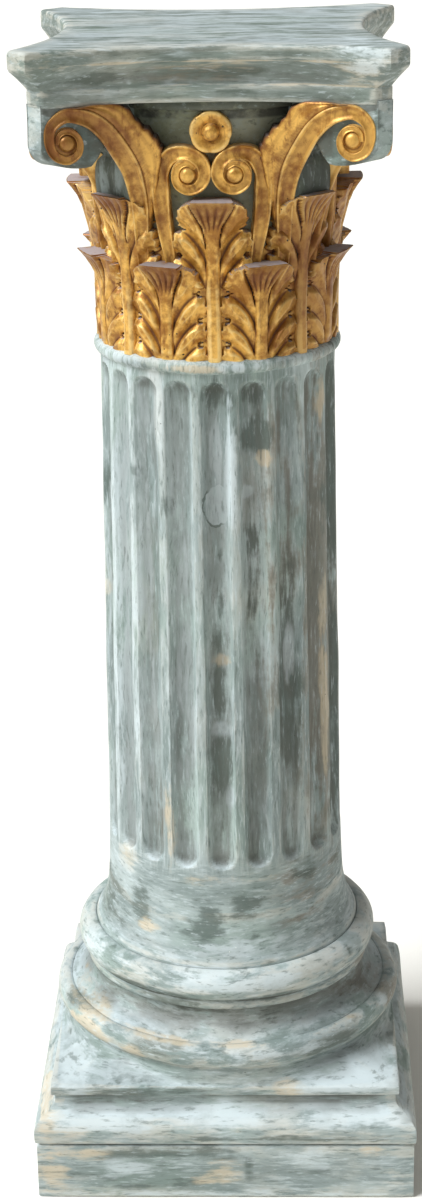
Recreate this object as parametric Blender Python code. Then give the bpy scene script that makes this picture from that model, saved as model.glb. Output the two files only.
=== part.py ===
"""A Corinthian column on a square plinth, cast in one piece of plaster.

Metres, +Z up. The origin is the middle of the plinth's underside, and the front faces -Y.
"""
import math

import bmesh
import bpy
from mathutils import Matrix, Vector

# Plinth
BLOCK_SIDE = 0.351
BLOCK_HEIGHT = 0.055
GROOVE_DEPTH = 0.0016
GROOVE_HEIGHT = 0.0026
OGEE_SIDE = 0.355
OGEE_HEIGHT = 0.0344
NECK_SIDE = 0.316
NECK_HEIGHT = 0.0095
SLAB_SIDE = 0.3235
SLAB_HEIGHT = 0.0090

# Round base
COVE_HEIGHT = 0.0173
LOWER_ROLL_RADIUS = 0.1657
LOWER_ROLL_HEIGHT = 0.0227
HOLLOW_FOOT_RADIUS = 0.1521
HOLLOW_RADIUS = 0.1300
HOLLOW_HEIGHT = 0.0268
FILLET_RADIUS = 0.1356
FILLET_HEIGHT = 0.0066
UPPER_ROLL_RADIUS = 0.1427
UPPER_ROLL_HEIGHT = 0.0300

# Fluted shaft
CINCTURE_RADIUS = 0.1262
CINCTURE_HEIGHT = 0.0030
FLARE_HEIGHT = 0.0360
SHAFT_FOOT_RADIUS = 0.1119
SHAFT_NECK_RADIUS = 0.1046
SHAFT_HEIGHT = 0.5193
FLUTES = 20
FLUTE_DEPTH = 0.0075
FLUTE_SHARE = 0.75
FLUTE_FOOT_GAP = 0.0540
FLUTE_NECK_GAP = 0.0060

# Capital
BEAD_RADIUS = 0.1097
BEAD_HEIGHT = 0.0123
BELL_FOOT_RADIUS = 0.0985
BELL_WAIST_RADIUS = 0.0990
BELL_TOP_RADIUS = 0.1060
BELL_HEIGHT = 0.2130
LIP_RADIUS = 0.1180
LIP_HEIGHT = 0.0065
ABACUS_HEIGHT = 0.0460
ABACUS_BAND = 0.0125
ABACUS_FILLET = 0.0140
ABACUS_MIDDLE = 0.1283
ABACUS_DIAGONAL = 0.2165
ABACUS_HORN_WIDTH = 0.0231
ABACUS_MIDDLE_STEP = 0.0080
ABACUS_HORN_STEP = 0.0170
ABACUS_FILLET_HORN_WIDTH = 0.0190

# Acanthus leaves, eight in each ring
LEAVES = 8
LOWER_LEAF_HEIGHT = 0.0825
LOWER_LEAF_TIP = 0.1237
LOWER_LIP_WIDTH = 0.0400
UPPER_LEAF_HEIGHT = 0.1380
UPPER_LEAF_TIP = 0.1290
UPPER_LIP_WIDTH = 0.0400
LEAF_WIDTH = 0.0700
LEAF_RELIEF = 0.0095
MIDRIB_WIDTH = 0.0120
LIP_FALL = 0.0012

# Scrolls, flowers and horns
HORN_DEPTH = 0.0480
HORN_ROUNDING = 0.0180
SUPPORT_WIDTH = 0.0336
SUPPORT_HEIGHT = 0.0720
SUPPORT_REACH = 0.1270
VOLUTE_RADIUS = 0.0153
VOLUTE_DROP = 0.0274
VOLUTE_SIDE = 0.1148
VOLUTE_FACE = 0.1425
VOLUTE_TURN = 8.0
HELIX_RADIUS = 0.0185
HELIX_DROP = 0.0603
HELIX_SIDE = 0.0194
HELIX_FACE = 0.1160
FLOWER_RADIUS = 0.0178
FLOWER_DROP = 0.0253
FLOWER_FACE = 0.1160
KNOB_SHARE = 0.50
STEM_DEPTH = 0.0280

# Heights from the ground, worked out from the bottom up
GROOVE_Z = BLOCK_HEIGHT
OGEE_Z = GROOVE_Z + GROOVE_HEIGHT
NECK_Z = OGEE_Z + OGEE_HEIGHT
SLAB_Z = NECK_Z + NECK_HEIGHT
COVE_Z = SLAB_Z + SLAB_HEIGHT
LOWER_ROLL_Z = COVE_Z + COVE_HEIGHT
HOLLOW_Z = LOWER_ROLL_Z + LOWER_ROLL_HEIGHT
FILLET_Z = HOLLOW_Z + HOLLOW_HEIGHT
UPPER_ROLL_Z = FILLET_Z + FILLET_HEIGHT
CINCTURE_Z = UPPER_ROLL_Z + UPPER_ROLL_HEIGHT
FLARE_Z = CINCTURE_Z + CINCTURE_HEIGHT
SHAFT_Z = FLARE_Z + FLARE_HEIGHT
BEAD_Z = SHAFT_Z + SHAFT_HEIGHT
BELL_Z = BEAD_Z + BEAD_HEIGHT
LIP_Z = BELL_Z + BELL_HEIGHT
ABACUS_Z = LIP_Z + LIP_HEIGHT
TOP_Z = ABACUS_Z + ABACUS_HEIGHT

# How finely round things are faceted, and how far pieces of the casting reach into each other
ROUND_SIDES = 32
BELL_SIDES = 24
BOSS_SIDES = 8
OVERLAP = 0.003


def clear_scene():
    for item in list(bpy.data.objects):
        bpy.data.objects.remove(item, do_unlink=True)


def material(name, colour, roughness):
    plaster = bpy.data.materials.new(name)
    plaster.use_nodes = True
    shader = plaster.node_tree.nodes["Principled BSDF"]
    shader.inputs["Base Color"].default_value = (*colour, 1.0)
    shader.inputs["Roughness"].default_value = roughness
    shader.inputs["Metallic"].default_value = 0.0
    return plaster


def loft(name, loops, tip=None):
    """A closed body through loops of points that all have the same count, the first one lowest."""
    shape = bmesh.new()
    rings = [[shape.verts.new(point) for point in loop] for loop in loops]
    count = len(rings[0])
    for low, high in zip(rings, rings[1:]):
        for i in range(count):
            j = (i + 1) % count
            shape.faces.new((low[i], low[j], high[j], high[i]))
    shape.faces.new(list(reversed(rings[0])))
    if tip is None:
        shape.faces.new(rings[-1])
    else:
        peak = shape.verts.new(tip)
        for i in range(count):
            shape.faces.new((rings[-1][i], rings[-1][(i + 1) % count], peak))
    bmesh.ops.recalc_face_normals(shape, faces=shape.faces)
    mesh = bpy.data.meshes.new(name)
    shape.to_mesh(mesh)
    shape.free()
    return mesh


def ring(radius, z, sides):
    turns = [2 * math.pi * i / sides for i in range(sides)]
    return [Vector((radius * math.cos(a), radius * math.sin(a), z)) for a in turns]


def square(side, z):
    half = side / 2
    return [Vector((x * half, y * half, z)) for x, y in ((-1, -1), (1, -1), (1, 1), (-1, 1))]


def arc(centre_r, centre_z, reach_r, reach_z, start, end, steps):
    """Radius and height along an elliptic arc, angles in degrees from the outward direction."""
    points = []
    for i in range(steps + 1):
        a = math.radians(start + (end - start) * i / steps)
        points.append((centre_r + reach_r * math.cos(a), centre_z + reach_z * math.sin(a)))
    return points


def plinth_mesh():
    """The square block, its groove, the ogee above it, the neck and the slab."""
    bulge_z = OGEE_Z + 0.37 * OGEE_HEIGHT
    levels = [
        (BLOCK_SIDE, 0.0),
        (BLOCK_SIDE, GROOVE_Z),
        (BLOCK_SIDE - 2 * GROOVE_DEPTH, GROOVE_Z + 0.5 * GROOVE_HEIGHT),
        (BLOCK_SIDE, OGEE_Z),
        (OGEE_SIDE, bulge_z),
    ]
    swell = OGEE_SIDE - NECK_SIDE
    levels.append((OGEE_SIDE - 0.22 * swell, OGEE_Z + 0.55 * OGEE_HEIGHT))
    levels.append((NECK_SIDE + 0.22 * swell, OGEE_Z + 0.75 * OGEE_HEIGHT))
    levels.append((NECK_SIDE, NECK_Z))
    levels.append((NECK_SIDE, SLAB_Z - 0.2 * NECK_HEIGHT))
    levels.append((SLAB_SIDE, SLAB_Z))
    levels.append((SLAB_SIDE, COVE_Z))
    return loft("plinth", [square(side, z) for side, z in levels])


def cove_mesh():
    """The hollow that runs from the lower roll out to the slab's edges and corners."""
    edge = SLAB_SIDE / 2 - 0.4 * OVERLAP
    foot = LOWER_ROLL_RADIUS - 0.3 * LOWER_ROLL_HEIGHT
    sides = 20
    loops = []
    for z in (SLAB_Z + 0.3 * SLAB_HEIGHT, COVE_Z + 0.02 * COVE_HEIGHT):
        loops.append([p * (edge / max(abs(p.x), abs(p.y))) for p in ring(1.0, 0.0, sides)])
        for point in loops[-1]:
            point.z = z
    for step in (0.55, 0.25, 0.0):
        a = math.radians(90 * step)
        level = []
        for p in ring(1.0, 0.0, sides):
            reach = edge / max(abs(p.x), abs(p.y))
            inner = min(foot, reach - 0.0005)
            radius = reach - (reach - inner) * math.cos(a)
            level.append(Vector((p.x * radius, p.y * radius, LOWER_ROLL_Z - COVE_HEIGHT * math.sin(a))))
        loops.append(level)
    loops.append(ring(foot - 2 * OVERLAP, LOWER_ROLL_Z + OVERLAP, sides))
    return loft("cove", loops)


def base_mesh():
    """Two rolls with a hollow between them, turned."""
    lower = LOWER_ROLL_HEIGHT / 2
    upper = UPPER_ROLL_HEIGHT / 2
    profile = [(LOWER_ROLL_RADIUS - 1.2 * lower, LOWER_ROLL_Z - COVE_HEIGHT)]
    profile += arc(LOWER_ROLL_RADIUS - lower, LOWER_ROLL_Z + lower, lower, lower, -64, 70, 4)
    profile.append((HOLLOW_FOOT_RADIUS, HOLLOW_Z + 0.02 * HOLLOW_HEIGHT))
    profile.append((HOLLOW_RADIUS + 0.36 * (HOLLOW_FOOT_RADIUS - HOLLOW_RADIUS), HOLLOW_Z + 0.20 * HOLLOW_HEIGHT))
    profile.append((HOLLOW_RADIUS, HOLLOW_Z + 0.62 * HOLLOW_HEIGHT))
    profile.append((FILLET_RADIUS, FILLET_Z))
    profile.append((FILLET_RADIUS, UPPER_ROLL_Z))
    profile += arc(UPPER_ROLL_RADIUS - upper, UPPER_ROLL_Z + upper, upper, upper, -60, 90, 4)
    profile.append((CINCTURE_RADIUS - 4 * OVERLAP, CINCTURE_Z - OVERLAP))
    return loft("base", [ring(r, z, ROUND_SIDES) for r, z in profile])


def flute_loop(z, radius, width_share, depth):
    """One level of the shaft: flat fillets with hollow flutes between them."""
    pitch = 2 * math.pi / FLUTES
    half = pitch * FLUTE_SHARE / 2
    loop = []
    for flute in range(FLUTES):
        middle = -math.pi / 2 + flute * pitch
        for part, hollow in ((-1, 0.0), (-0.45, 0.9), (0.45, 0.9), (1, 0.0)):
            squeeze = width_share if abs(part) < 1 else 1.0
            a = middle + part * half * squeeze
            r = radius - depth * hollow
            loop.append(Vector((r * math.cos(a), r * math.sin(a), z)))
    return loop


def shaft_mesh():
    """The shaft with its flared foot and round-ended flutes, a little fuller below."""
    flute_foot = SHAFT_Z + FLUTE_FOOT_GAP
    flute_neck = BEAD_Z - FLUTE_NECK_GAP
    flute_radius = math.pi * SHAFT_FOOT_RADIUS * FLUTE_SHARE / FLUTES

    def radius_at(z):
        t = (z - SHAFT_Z) / SHAFT_HEIGHT
        swell = 0.12 * math.sin(math.pi * min(max(t, 0.0), 1.0))
        return SHAFT_FOOT_RADIUS + (SHAFT_NECK_RADIUS - SHAFT_FOOT_RADIUS) * (t - swell)

    loops = [flute_loop(CINCTURE_Z - OVERLAP, CINCTURE_RADIUS, 1.0, 0.0)]
    loops.append(flute_loop(FLARE_Z, CINCTURE_RADIUS, 1.0, 0.0))
    flare = CINCTURE_RADIUS - SHAFT_FOOT_RADIUS
    for share in (0.38, 1.0):
        spread = flare * (1 - math.sin(math.radians(90 * share))) ** 1.2
        loops.append(flute_loop(FLARE_Z + share * FLARE_HEIGHT, SHAFT_FOOT_RADIUS + spread, 1.0, 0.0))
    ends = ((0.0, 0.15, 0.0), (0.25, 0.66, 0.6), (1.0, 1.0, 1.0))
    for rise, share, depth in ends:
        z = flute_foot + rise * flute_radius
        loops.append(flute_loop(z, radius_at(z), share, depth * FLUTE_DEPTH))
    for rise, share, depth in reversed(ends):
        z = flute_neck - rise * flute_radius
        loops.append(flute_loop(z, radius_at(z), share, depth * FLUTE_DEPTH))
    loops.append(flute_loop(BEAD_Z + OVERLAP, radius_at(BEAD_Z), 1.0, 0.0))
    return loft("shaft", loops)


def bell_radius(z):
    """The plain bell behind the leaves: a narrow waist that opens towards the lip."""
    t = (z - BELL_Z) / BELL_HEIGHT
    opening = BELL_TOP_RADIUS - BELL_WAIST_RADIUS
    return BELL_FOOT_RADIUS + (BELL_WAIST_RADIUS - BELL_FOOT_RADIUS) * min(t, 0.5) * 2 + opening * max(t, 0.0) ** 3


def bell_mesh():
    """The bead under the capital, the bell and its lip, turned."""
    half = BEAD_HEIGHT / 2
    profile = [(BEAD_RADIUS - 3 * half, BEAD_Z - OVERLAP)]
    profile += arc(BEAD_RADIUS - half, BEAD_Z + half, half, half, -80, 80, 3)
    profile.append((BELL_FOOT_RADIUS, BELL_Z + 0.2 * OVERLAP))
    for t in (0.7, 1.0):
        z = BELL_Z + t * BELL_HEIGHT
        profile.append((bell_radius(z), z - 0.001))
    profile.append((LIP_RADIUS, LIP_Z))
    profile.append((LIP_RADIUS, ABACUS_Z + OVERLAP))
    return loft("bell", [ring(r, z, BELL_SIDES) for r, z in profile])


def abacus_outline(middle, diagonal, horn_width, z, steps=6):
    """Four concave sides between cut-off horns."""
    far = (diagonal * math.sqrt(2) + horn_width / math.sqrt(2)) / 2
    side = (diagonal * math.sqrt(2) - horn_width / math.sqrt(2)) / 2
    sag = far - middle
    bend = (side * side + sag * sag) / (2 * sag)
    loop = []
    for quarter in range(4):
        turn = Matrix.Rotation(quarter * math.pi / 2, 3, "Z")
        for i in range(steps + 1):
            x = side * (2 * i / steps - 1)
            y = -(middle + bend) + math.sqrt(bend * bend - x * x)
            loop.append(turn @ Vector((x, y, z)))
    return loop


def abacus_mesh():
    """The concave-sided slab on top: a fillet, a hollow and a band."""
    band_z = TOP_Z - ABACUS_BAND
    fillet_z = ABACUS_Z + ABACUS_FILLET
    rounding = 0.12 * ABACUS_BAND
    levels = []
    for z, middle_in, horn_in in (
        (ABACUS_Z, 1.0, 1.0),
        (fillet_z, 1.0, 1.0),
        ((fillet_z + band_z) / 2 + 0.002, 1.0, 0.42),
        (band_z, 0.2, 0.06),
        (band_z + 0.0012, 0.0, 0.0),
        (TOP_Z - rounding, 0.0, 0.0),
    ):
        levels.append((ABACUS_MIDDLE - middle_in * ABACUS_MIDDLE_STEP,
                       ABACUS_DIAGONAL - horn_in * ABACUS_HORN_STEP,
                       ABACUS_HORN_WIDTH + horn_in * (ABACUS_FILLET_HORN_WIDTH - ABACUS_HORN_WIDTH), z))
    levels.append((ABACUS_MIDDLE - rounding, ABACUS_DIAGONAL - rounding, ABACUS_HORN_WIDTH - rounding, TOP_Z))
    return loft("abacus", [abacus_outline(*level) for level in levels])


def horn_mesh():
    """The thick tongue under one horn of the abacus, pointing along +X before it is turned."""
    middle = ABACUS_MIDDLE - ABACUS_MIDDLE_STEP
    diagonal = ABACUS_DIAGONAL - ABACUS_HORN_STEP
    front = abacus_outline(middle, diagonal, ABACUS_FILLET_HORN_WIDTH, 0.0, steps=14)[:15]
    low = ABACUS_Z - HORN_DEPTH
    slim = 0.3 * OVERLAP
    stations = [(0.8 * BELL_WAIST_RADIUS, 0.34 * BELL_WAIST_RADIUS)]
    for point in front[11:]:
        along = (point.x - point.y) / math.sqrt(2)
        half = (-point.y - point.x) / math.sqrt(2)
        stations.append((along - slim, half - slim))
    end = stations[-1][0]
    stations.insert(-1, (end - HORN_ROUNDING, stations[-1][1] * 1.35))
    loops = []
    for x, half in stations:
        into_rounding = max(0.0, (x - (end - HORN_ROUNDING)) / HORN_ROUNDING)
        bottom = low + 0.9 * HORN_ROUNDING * into_rounding ** 2
        loops.append([Vector((x, -half, ABACUS_Z + OVERLAP)), Vector((x, -half, bottom + slim)),
                      Vector((x, -half + slim, bottom)), Vector((x, half - slim, bottom)),
                      Vector((x, half, bottom + slim)), Vector((x, half, ABACUS_Z + OVERLAP))])
    return loft("horn", loops)


def support_mesh():
    """The plain bud that stands on the bell under a horn, pointing along +X before it is turned."""
    top = ABACUS_Z - HORN_DEPTH + OVERLAP
    foot = top - SUPPORT_HEIGHT
    root = 0.9 * BELL_WAIST_RADIUS
    loops = []
    for rise, swell in ((0.0, 0.80), (0.5, 0.92), (0.85, 1.0), (1.0, 0.86)):
        loop = []
        for step in range(8):
            a = math.pi * step / 4
            crease = 1.0 - 0.18 * (step == 0)
            x = root + (SUPPORT_REACH - root) * swell * crease * math.cos(a)
            loop.append(Vector((x, SUPPORT_WIDTH / 2 * swell * math.sin(a), foot + rise * SUPPORT_HEIGHT)))
        loops.append(loop)
    return loft("support", loops)


def boss_mesh(name, radius, face, sides):
    """A round scroll end or flower, domed and with a knob, facing -Y at distance face from the axis."""
    def circle(r, y):
        return [Vector((p.x, y, p.y)) for p in ring(r, 0.0, sides)]

    knob = KNOB_SHARE * radius
    rim = 0.12 * radius
    loops = [circle(radius, -face + STEM_DEPTH), circle(radius, -face + 0.4 * rim), circle(knob, -face + rim)]
    return loft(name, loops, tip=Vector((0, -face - 0.8 * rim, 0)))


def stem_mesh(name, stations, depth):
    """A flat stalk through (side, out, height, half width) stations, seen from the front."""
    loops = []
    for i, (x, out, z, half) in enumerate(stations):
        before = stations[max(i - 1, 0)]
        after = stations[min(i + 1, len(stations) - 1)]
        run = Vector((after[0] - before[0], 0, after[2] - before[2])).normalized()
        across = Vector((run.z, 0, -run.x)) * half
        centre = Vector((x, -out, z))
        back = Vector((0, depth, 0))
        loops.append([centre - across, centre + across, centre + across + back, centre - across + back])
    return loft(name, loops)


def on_bell(x, relief, z):
    """Distance out from the axis of a point x to the side, relief proud of the bell."""
    return math.sqrt((bell_radius(z) + relief) ** 2 - x * x)


def volute_stem_mesh():
    """The stalk and its leafy flange, from between the leaves to the scroll under a horn."""
    top = ABACUS_Z
    eye_z = ABACUS_Z - VOLUTE_DROP
    foot_x = 0.505 * VOLUTE_SIDE
    stations = [
        (foot_x, on_bell(foot_x, 0.006, top - 0.104), top - 0.104, 0.0080),
        (foot_x + 0.001, on_bell(foot_x, 0.016, top - 0.056), top - 0.056, 0.0145),
        (foot_x + 0.003, 0.76 * VOLUTE_FACE, top - 0.038, 0.0185),
        (foot_x + 0.0125, 0.82 * VOLUTE_FACE, top - 0.020, 0.0185),
        (foot_x + 0.025, 0.89 * VOLUTE_FACE, top - 0.0095, 0.0150),
        (VOLUTE_SIDE - 0.5 * VOLUTE_RADIUS, 0.955 * VOLUTE_FACE, top - 0.0065, 0.0065),
        (VOLUTE_SIDE + 0.45 * VOLUTE_RADIUS, 0.985 * VOLUTE_FACE, eye_z + 0.93 * VOLUTE_RADIUS, 0.0045),
    ]
    return stem_mesh("volute_stem", stations, STEM_DEPTH)


def helix_stem_mesh():
    """The thin stalk that rises between the leaves and bends in to a scroll by the middle."""
    eye_z = ABACUS_Z - HELIX_DROP
    foot_x = HELIX_SIDE + 1.25 * HELIX_RADIUS
    stations = [(foot_x - 0.004, on_bell(foot_x, 0.006, eye_z - 0.078), eye_z - 0.078, 0.0055),
                (foot_x, on_bell(foot_x, 0.010, eye_z - 0.030), eye_z - 0.030, 0.0065)]
    for step in range(4):
        a = math.radians(-4 + 32 * step)
        reach = 1.22 * HELIX_RADIUS * (1 - 0.073 * step)
        out = on_bell(foot_x, 0.012, eye_z) + (HELIX_FACE - on_bell(foot_x, 0.012, eye_z)) * step / 4
        stations.append((HELIX_SIDE + reach * math.cos(a), out, eye_z + reach * math.sin(a),
                         0.0068 * (1 - 0.17 * step)))
    return stem_mesh("helix_stem", stations, STEM_DEPTH)


def leaf_mesh(name, height, tip, lip_width, bare, tiers):
    """An acanthus leaf facing -Y: a midrib, lobes in tiers, and a lip that flares out at the top.

    Below the share bare of its height only the midrib shows. Its edges sink into the bell.
    """
    columns = (-1.0, -0.62, -0.26, 0.0, 0.26, 0.62, 1.0)
    step = (0.84 - bare) / tiers
    rows = []
    if bare > 0:
        rows += [(0.0, MIDRIB_WIDTH, 0.6, 0.0), (bare - 0.02, 1.2 * MIDRIB_WIDTH, 0.6, 0.0)]
    for tier in range(tiers):
        rows.append((bare + tier * step + 0.01, 0.80 * LEAF_WIDTH, 0.35, 0.0))
        rows.append((bare + (tier + 0.55) * step, LEAF_WIDTH, 0.95, 0.0))
    rows.append((0.84, 0.92 * LEAF_WIDTH, 0.85, 0.25))
    rows.append((1.0, None, 0.0, 1.0))
    grid = []
    for share, width, pad, flare in rows:
        z = BELL_Z + share * height
        surface = bell_radius(z)
        line = []
        for u in columns:
            if abs(u) == 1.0:
                r = surface - OVERLAP
                z_here = z if width else z - 0.10 * height
            else:
                ridge = {0.0: 1.0, 0.26: 0.62 - 0.25 * flare, 0.62: pad}[abs(u)]
                r = surface + LEAF_RELIEF * ridge
                r += (tip - r) * flare ** 1.5
                z_here = z
            spread = width if width else lip_width * (1.0 if abs(u) == 1.0 else 1 / 0.62)
            a = u * spread / 2 / (bell_radius(BELL_Z) + LEAF_RELIEF)
            if width is None and abs(u) < 1.0:
                a = math.asin(u * spread / 2 / tip)
            line.append(Vector((r * math.sin(a), -r * math.cos(a), z_here)))
        grid.append(line)
    inner = 0.9 * BELL_FOOT_RADIUS
    sunk = []
    for line, z in ((grid[0], BELL_Z - 0.3 * OVERLAP), (grid[-1], grid[-1][3].z - LIP_FALL)):
        row = []
        for p in line:
            flat = Vector((p.x, p.y, 0)).normalized() * inner
            row.append(Vector((flat.x, flat.y, min(z, p.z))))
        sunk.append(row)
    grid = [sunk[0]] + grid + [sunk[1]]
    shape = bmesh.new()
    verts = [[shape.verts.new(p) for p in line] for line in grid]
    for low, high in zip(verts, verts[1:]):
        for i in range(len(columns) - 1):
            shape.faces.new((low[i], low[i + 1], high[i + 1], high[i]))
    rim = verts[0] + [line[-1] for line in verts[1:-1]] + verts[-1][::-1] + [line[0] for line in verts[-2:0:-1]]
    heart = shape.verts.new((0, -0.75 * inner, BELL_Z + 0.5 * height))
    for i, vert in enumerate(rim):
        shape.faces.new((rim[(i + 1) % len(rim)], vert, heart))
    bmesh.ops.recalc_face_normals(shape, faces=shape.faces)
    mesh = bpy.data.meshes.new(name)
    shape.to_mesh(mesh)
    shape.free()
    return mesh


def carve_list():
    """Every carved form of the capital, with where it goes: (mesh, placing matrix)."""
    def around(degrees):
        return Matrix.Rotation(math.radians(degrees), 4, "Z")

    def mirrored(mesh, name):
        copy = mesh.copy()
        copy.name = name
        copy.transform(Matrix.Scale(-1, 4, (1, 0, 0)))
        copy.flip_normals()
        return copy

    lower = leaf_mesh("lower_leaf", LOWER_LEAF_HEIGHT, LOWER_LEAF_TIP, LOWER_LIP_WIDTH, 0.0, 3)
    upper = leaf_mesh("upper_leaf", UPPER_LEAF_HEIGHT, UPPER_LEAF_TIP, UPPER_LIP_WIDTH, 0.46, 2)
    horn, support = horn_mesh(), support_mesh()
    flower = boss_mesh("flower", FLOWER_RADIUS, FLOWER_FACE, BOSS_SIDES)
    helix = boss_mesh("helix", HELIX_RADIUS, HELIX_FACE, BOSS_SIDES)
    volute = boss_mesh("volute", VOLUTE_RADIUS, 0.0, BOSS_SIDES)
    volute_stems = [volute_stem_mesh()]
    volute_stems.append(mirrored(volute_stems[0], "volute_stem_left"))
    helix_stems = [helix_stem_mesh()]
    helix_stems.append(mirrored(helix_stems[0], "helix_stem_left"))
    placed = []
    pitch = 360 / LEAVES
    for i in range(LEAVES):
        placed.append((upper, around(i * pitch)))
        placed.append((lower, around((i + 0.5) * pitch)))
    for quarter in range(4):
        turn = around(90 * quarter)
        placed.append((horn, around(90 * quarter + 45)))
        placed.append((support, around(90 * quarter + 45)))
        placed.append((flower, turn @ Matrix.Translation((0, 0, ABACUS_Z - FLOWER_DROP))))
        for side, index in ((1, 0), (-1, 1)):
            placed.append((volute_stems[index], turn))
            placed.append((helix_stems[index], turn))
            placed.append((helix, turn @ Matrix.Translation((side * HELIX_SIDE, 0, ABACUS_Z - HELIX_DROP))))
            eye = Matrix.Translation((side * VOLUTE_SIDE, -VOLUTE_FACE, ABACUS_Z - VOLUTE_DROP))
            placed.append((volute, turn @ eye @ around(-side * VOLUTE_TURN)))
    return placed


def hidden(name, mesh, placing, collection):
    form = bpy.data.objects.new(name, mesh)
    form.matrix_world = placing
    form.display_type = "WIRE"
    form.hide_render = True
    collection.objects.link(form)


def build():
    clear_scene()
    forms = bpy.data.collections.new("forms")
    bpy.context.scene.collection.children.link(forms)
    level = Matrix.Identity(4)
    for mesh in (cove_mesh(), base_mesh(), shaft_mesh(), bell_mesh(), abacus_mesh()):
        hidden(mesh.name + "_form", mesh, level, forms)
    for count, (mesh, placing) in enumerate(carve_list()):
        hidden(f"{mesh.name}_{count:02d}", mesh, placing, forms)
    column = bpy.data.objects.new("column", plinth_mesh())
    bpy.context.scene.collection.objects.link(column)
    column.data.materials.append(material("painted plaster", (0.55, 0.62, 0.60), 0.75))
    join = column.modifiers.new("one casting", "BOOLEAN")
    join.operation = "UNION"
    join.solver = "EXACT"
    join.operand_type = "COLLECTION"
    join.collection = forms


build()
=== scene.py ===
"""A plaster column on a moulded plinth, with a washed and worn shaft and a gilded Corinthian capital.

Metres, +Z up, the front towards -Y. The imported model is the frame, and each section below dresses one
part of the one casting: plinth, round base, shaft, bell, leaves, scrolls, flowers and abacus.
"""
import math

import bmesh
import bpy
import numpy as np
from mathutils import Matrix, Vector, noise


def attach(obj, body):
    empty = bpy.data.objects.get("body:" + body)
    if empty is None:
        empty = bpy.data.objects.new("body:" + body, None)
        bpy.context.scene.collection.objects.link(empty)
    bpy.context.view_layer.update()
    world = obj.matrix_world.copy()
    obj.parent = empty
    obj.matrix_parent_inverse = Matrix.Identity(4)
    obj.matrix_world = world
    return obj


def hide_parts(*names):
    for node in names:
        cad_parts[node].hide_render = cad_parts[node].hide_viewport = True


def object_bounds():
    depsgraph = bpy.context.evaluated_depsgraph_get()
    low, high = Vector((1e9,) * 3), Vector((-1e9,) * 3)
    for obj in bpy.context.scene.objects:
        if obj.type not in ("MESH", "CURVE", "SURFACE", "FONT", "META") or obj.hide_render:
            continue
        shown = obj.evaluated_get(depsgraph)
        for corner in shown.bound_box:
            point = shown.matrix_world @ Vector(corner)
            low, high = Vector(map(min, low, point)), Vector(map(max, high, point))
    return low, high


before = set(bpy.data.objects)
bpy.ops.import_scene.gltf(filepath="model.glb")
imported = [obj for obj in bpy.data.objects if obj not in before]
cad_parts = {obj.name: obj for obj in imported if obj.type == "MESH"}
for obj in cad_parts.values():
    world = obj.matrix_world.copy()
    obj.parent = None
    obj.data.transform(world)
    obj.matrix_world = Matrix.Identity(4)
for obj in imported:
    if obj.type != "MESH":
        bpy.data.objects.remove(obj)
cad_low, cad_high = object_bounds()

# Camera
# A long lens a little above the capital, looking down at the middle of the shaft.
CAMERA_PLACE = (0.0573, -2.0684, 1.2929)
CAMERA_HEADING = (-0.0325, 0.9995)
CAMERA_PITCH = math.radians(20.24)
CAMERA_ROLL = math.radians(-1.0)

camera = bpy.data.objects.new("camera", bpy.data.cameras.new("camera"))
bpy.context.scene.collection.objects.link(camera)
camera.data.lens = 71.47
camera.data.sensor_width = 36.0
sight = Vector((CAMERA_HEADING[0] * math.cos(CAMERA_PITCH), CAMERA_HEADING[1] * math.cos(CAMERA_PITCH),
                -math.sin(CAMERA_PITCH)))
aim = sight.to_track_quat("-Z", "Y").to_matrix().to_4x4()
camera.matrix_world = Matrix.Translation(CAMERA_PLACE) @ aim @ Matrix.Rotation(CAMERA_ROLL, 4, "Z")
bpy.context.scene.camera = camera

# Studio
# A plain pale floor and a pale room, with one big soft lamp high on the left, as in a bright yard.
FLOOR_REACH = 40.0
FLOOR_PAINT = (0.92, 0.90, 0.85, 1.0)
LAMP_TURN = math.radians(-68)
LAMP_HEIGHT = math.radians(48)

lamp = bpy.data.objects.new("lamp", bpy.data.lights.new("lamp", "SUN"))
lamp.data.energy = 4.3
lamp.data.angle = math.radians(38)
lamp.data.color = (0.955, 0.98, 1.0)
from_lamp = Vector((-math.sin(LAMP_TURN) * math.cos(LAMP_HEIGHT), math.cos(LAMP_TURN) * math.cos(LAMP_HEIGHT),
                    -math.sin(LAMP_HEIGHT)))
lamp.rotation_euler = from_lamp.to_track_quat("-Z", "Y").to_euler()
lamp.location = (-2.0, -1.0, 3.0)
bpy.context.scene.collection.objects.link(lamp)
room = bpy.data.worlds.new("pale room")
room.use_nodes = True
room.node_tree.nodes["Background"].inputs["Color"].default_value = (1.0, 0.98, 0.93, 1.0)
room.node_tree.nodes["Background"].inputs["Strength"].default_value = 0.30
bpy.context.scene.world = room
bpy.context.scene.view_settings.view_transform = "Standard"
shape = bmesh.new()
bmesh.ops.create_grid(shape, x_segments=1, y_segments=1, size=FLOOR_REACH)
floor = bpy.data.objects.new("floor", bpy.data.meshes.new("floor"))
shape.to_mesh(floor.data)
shape.free()
bpy.context.scene.collection.objects.link(floor)
floor_paint = bpy.data.materials.new("floor paint")
floor_paint.use_nodes = True
floor_paint.node_tree.nodes["Principled BSDF"].inputs["Base Color"].default_value = FLOOR_PAINT
floor_paint.node_tree.nodes["Principled BSDF"].inputs["Roughness"].default_value = 0.9
floor.data.materials.append(floor_paint)

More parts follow.
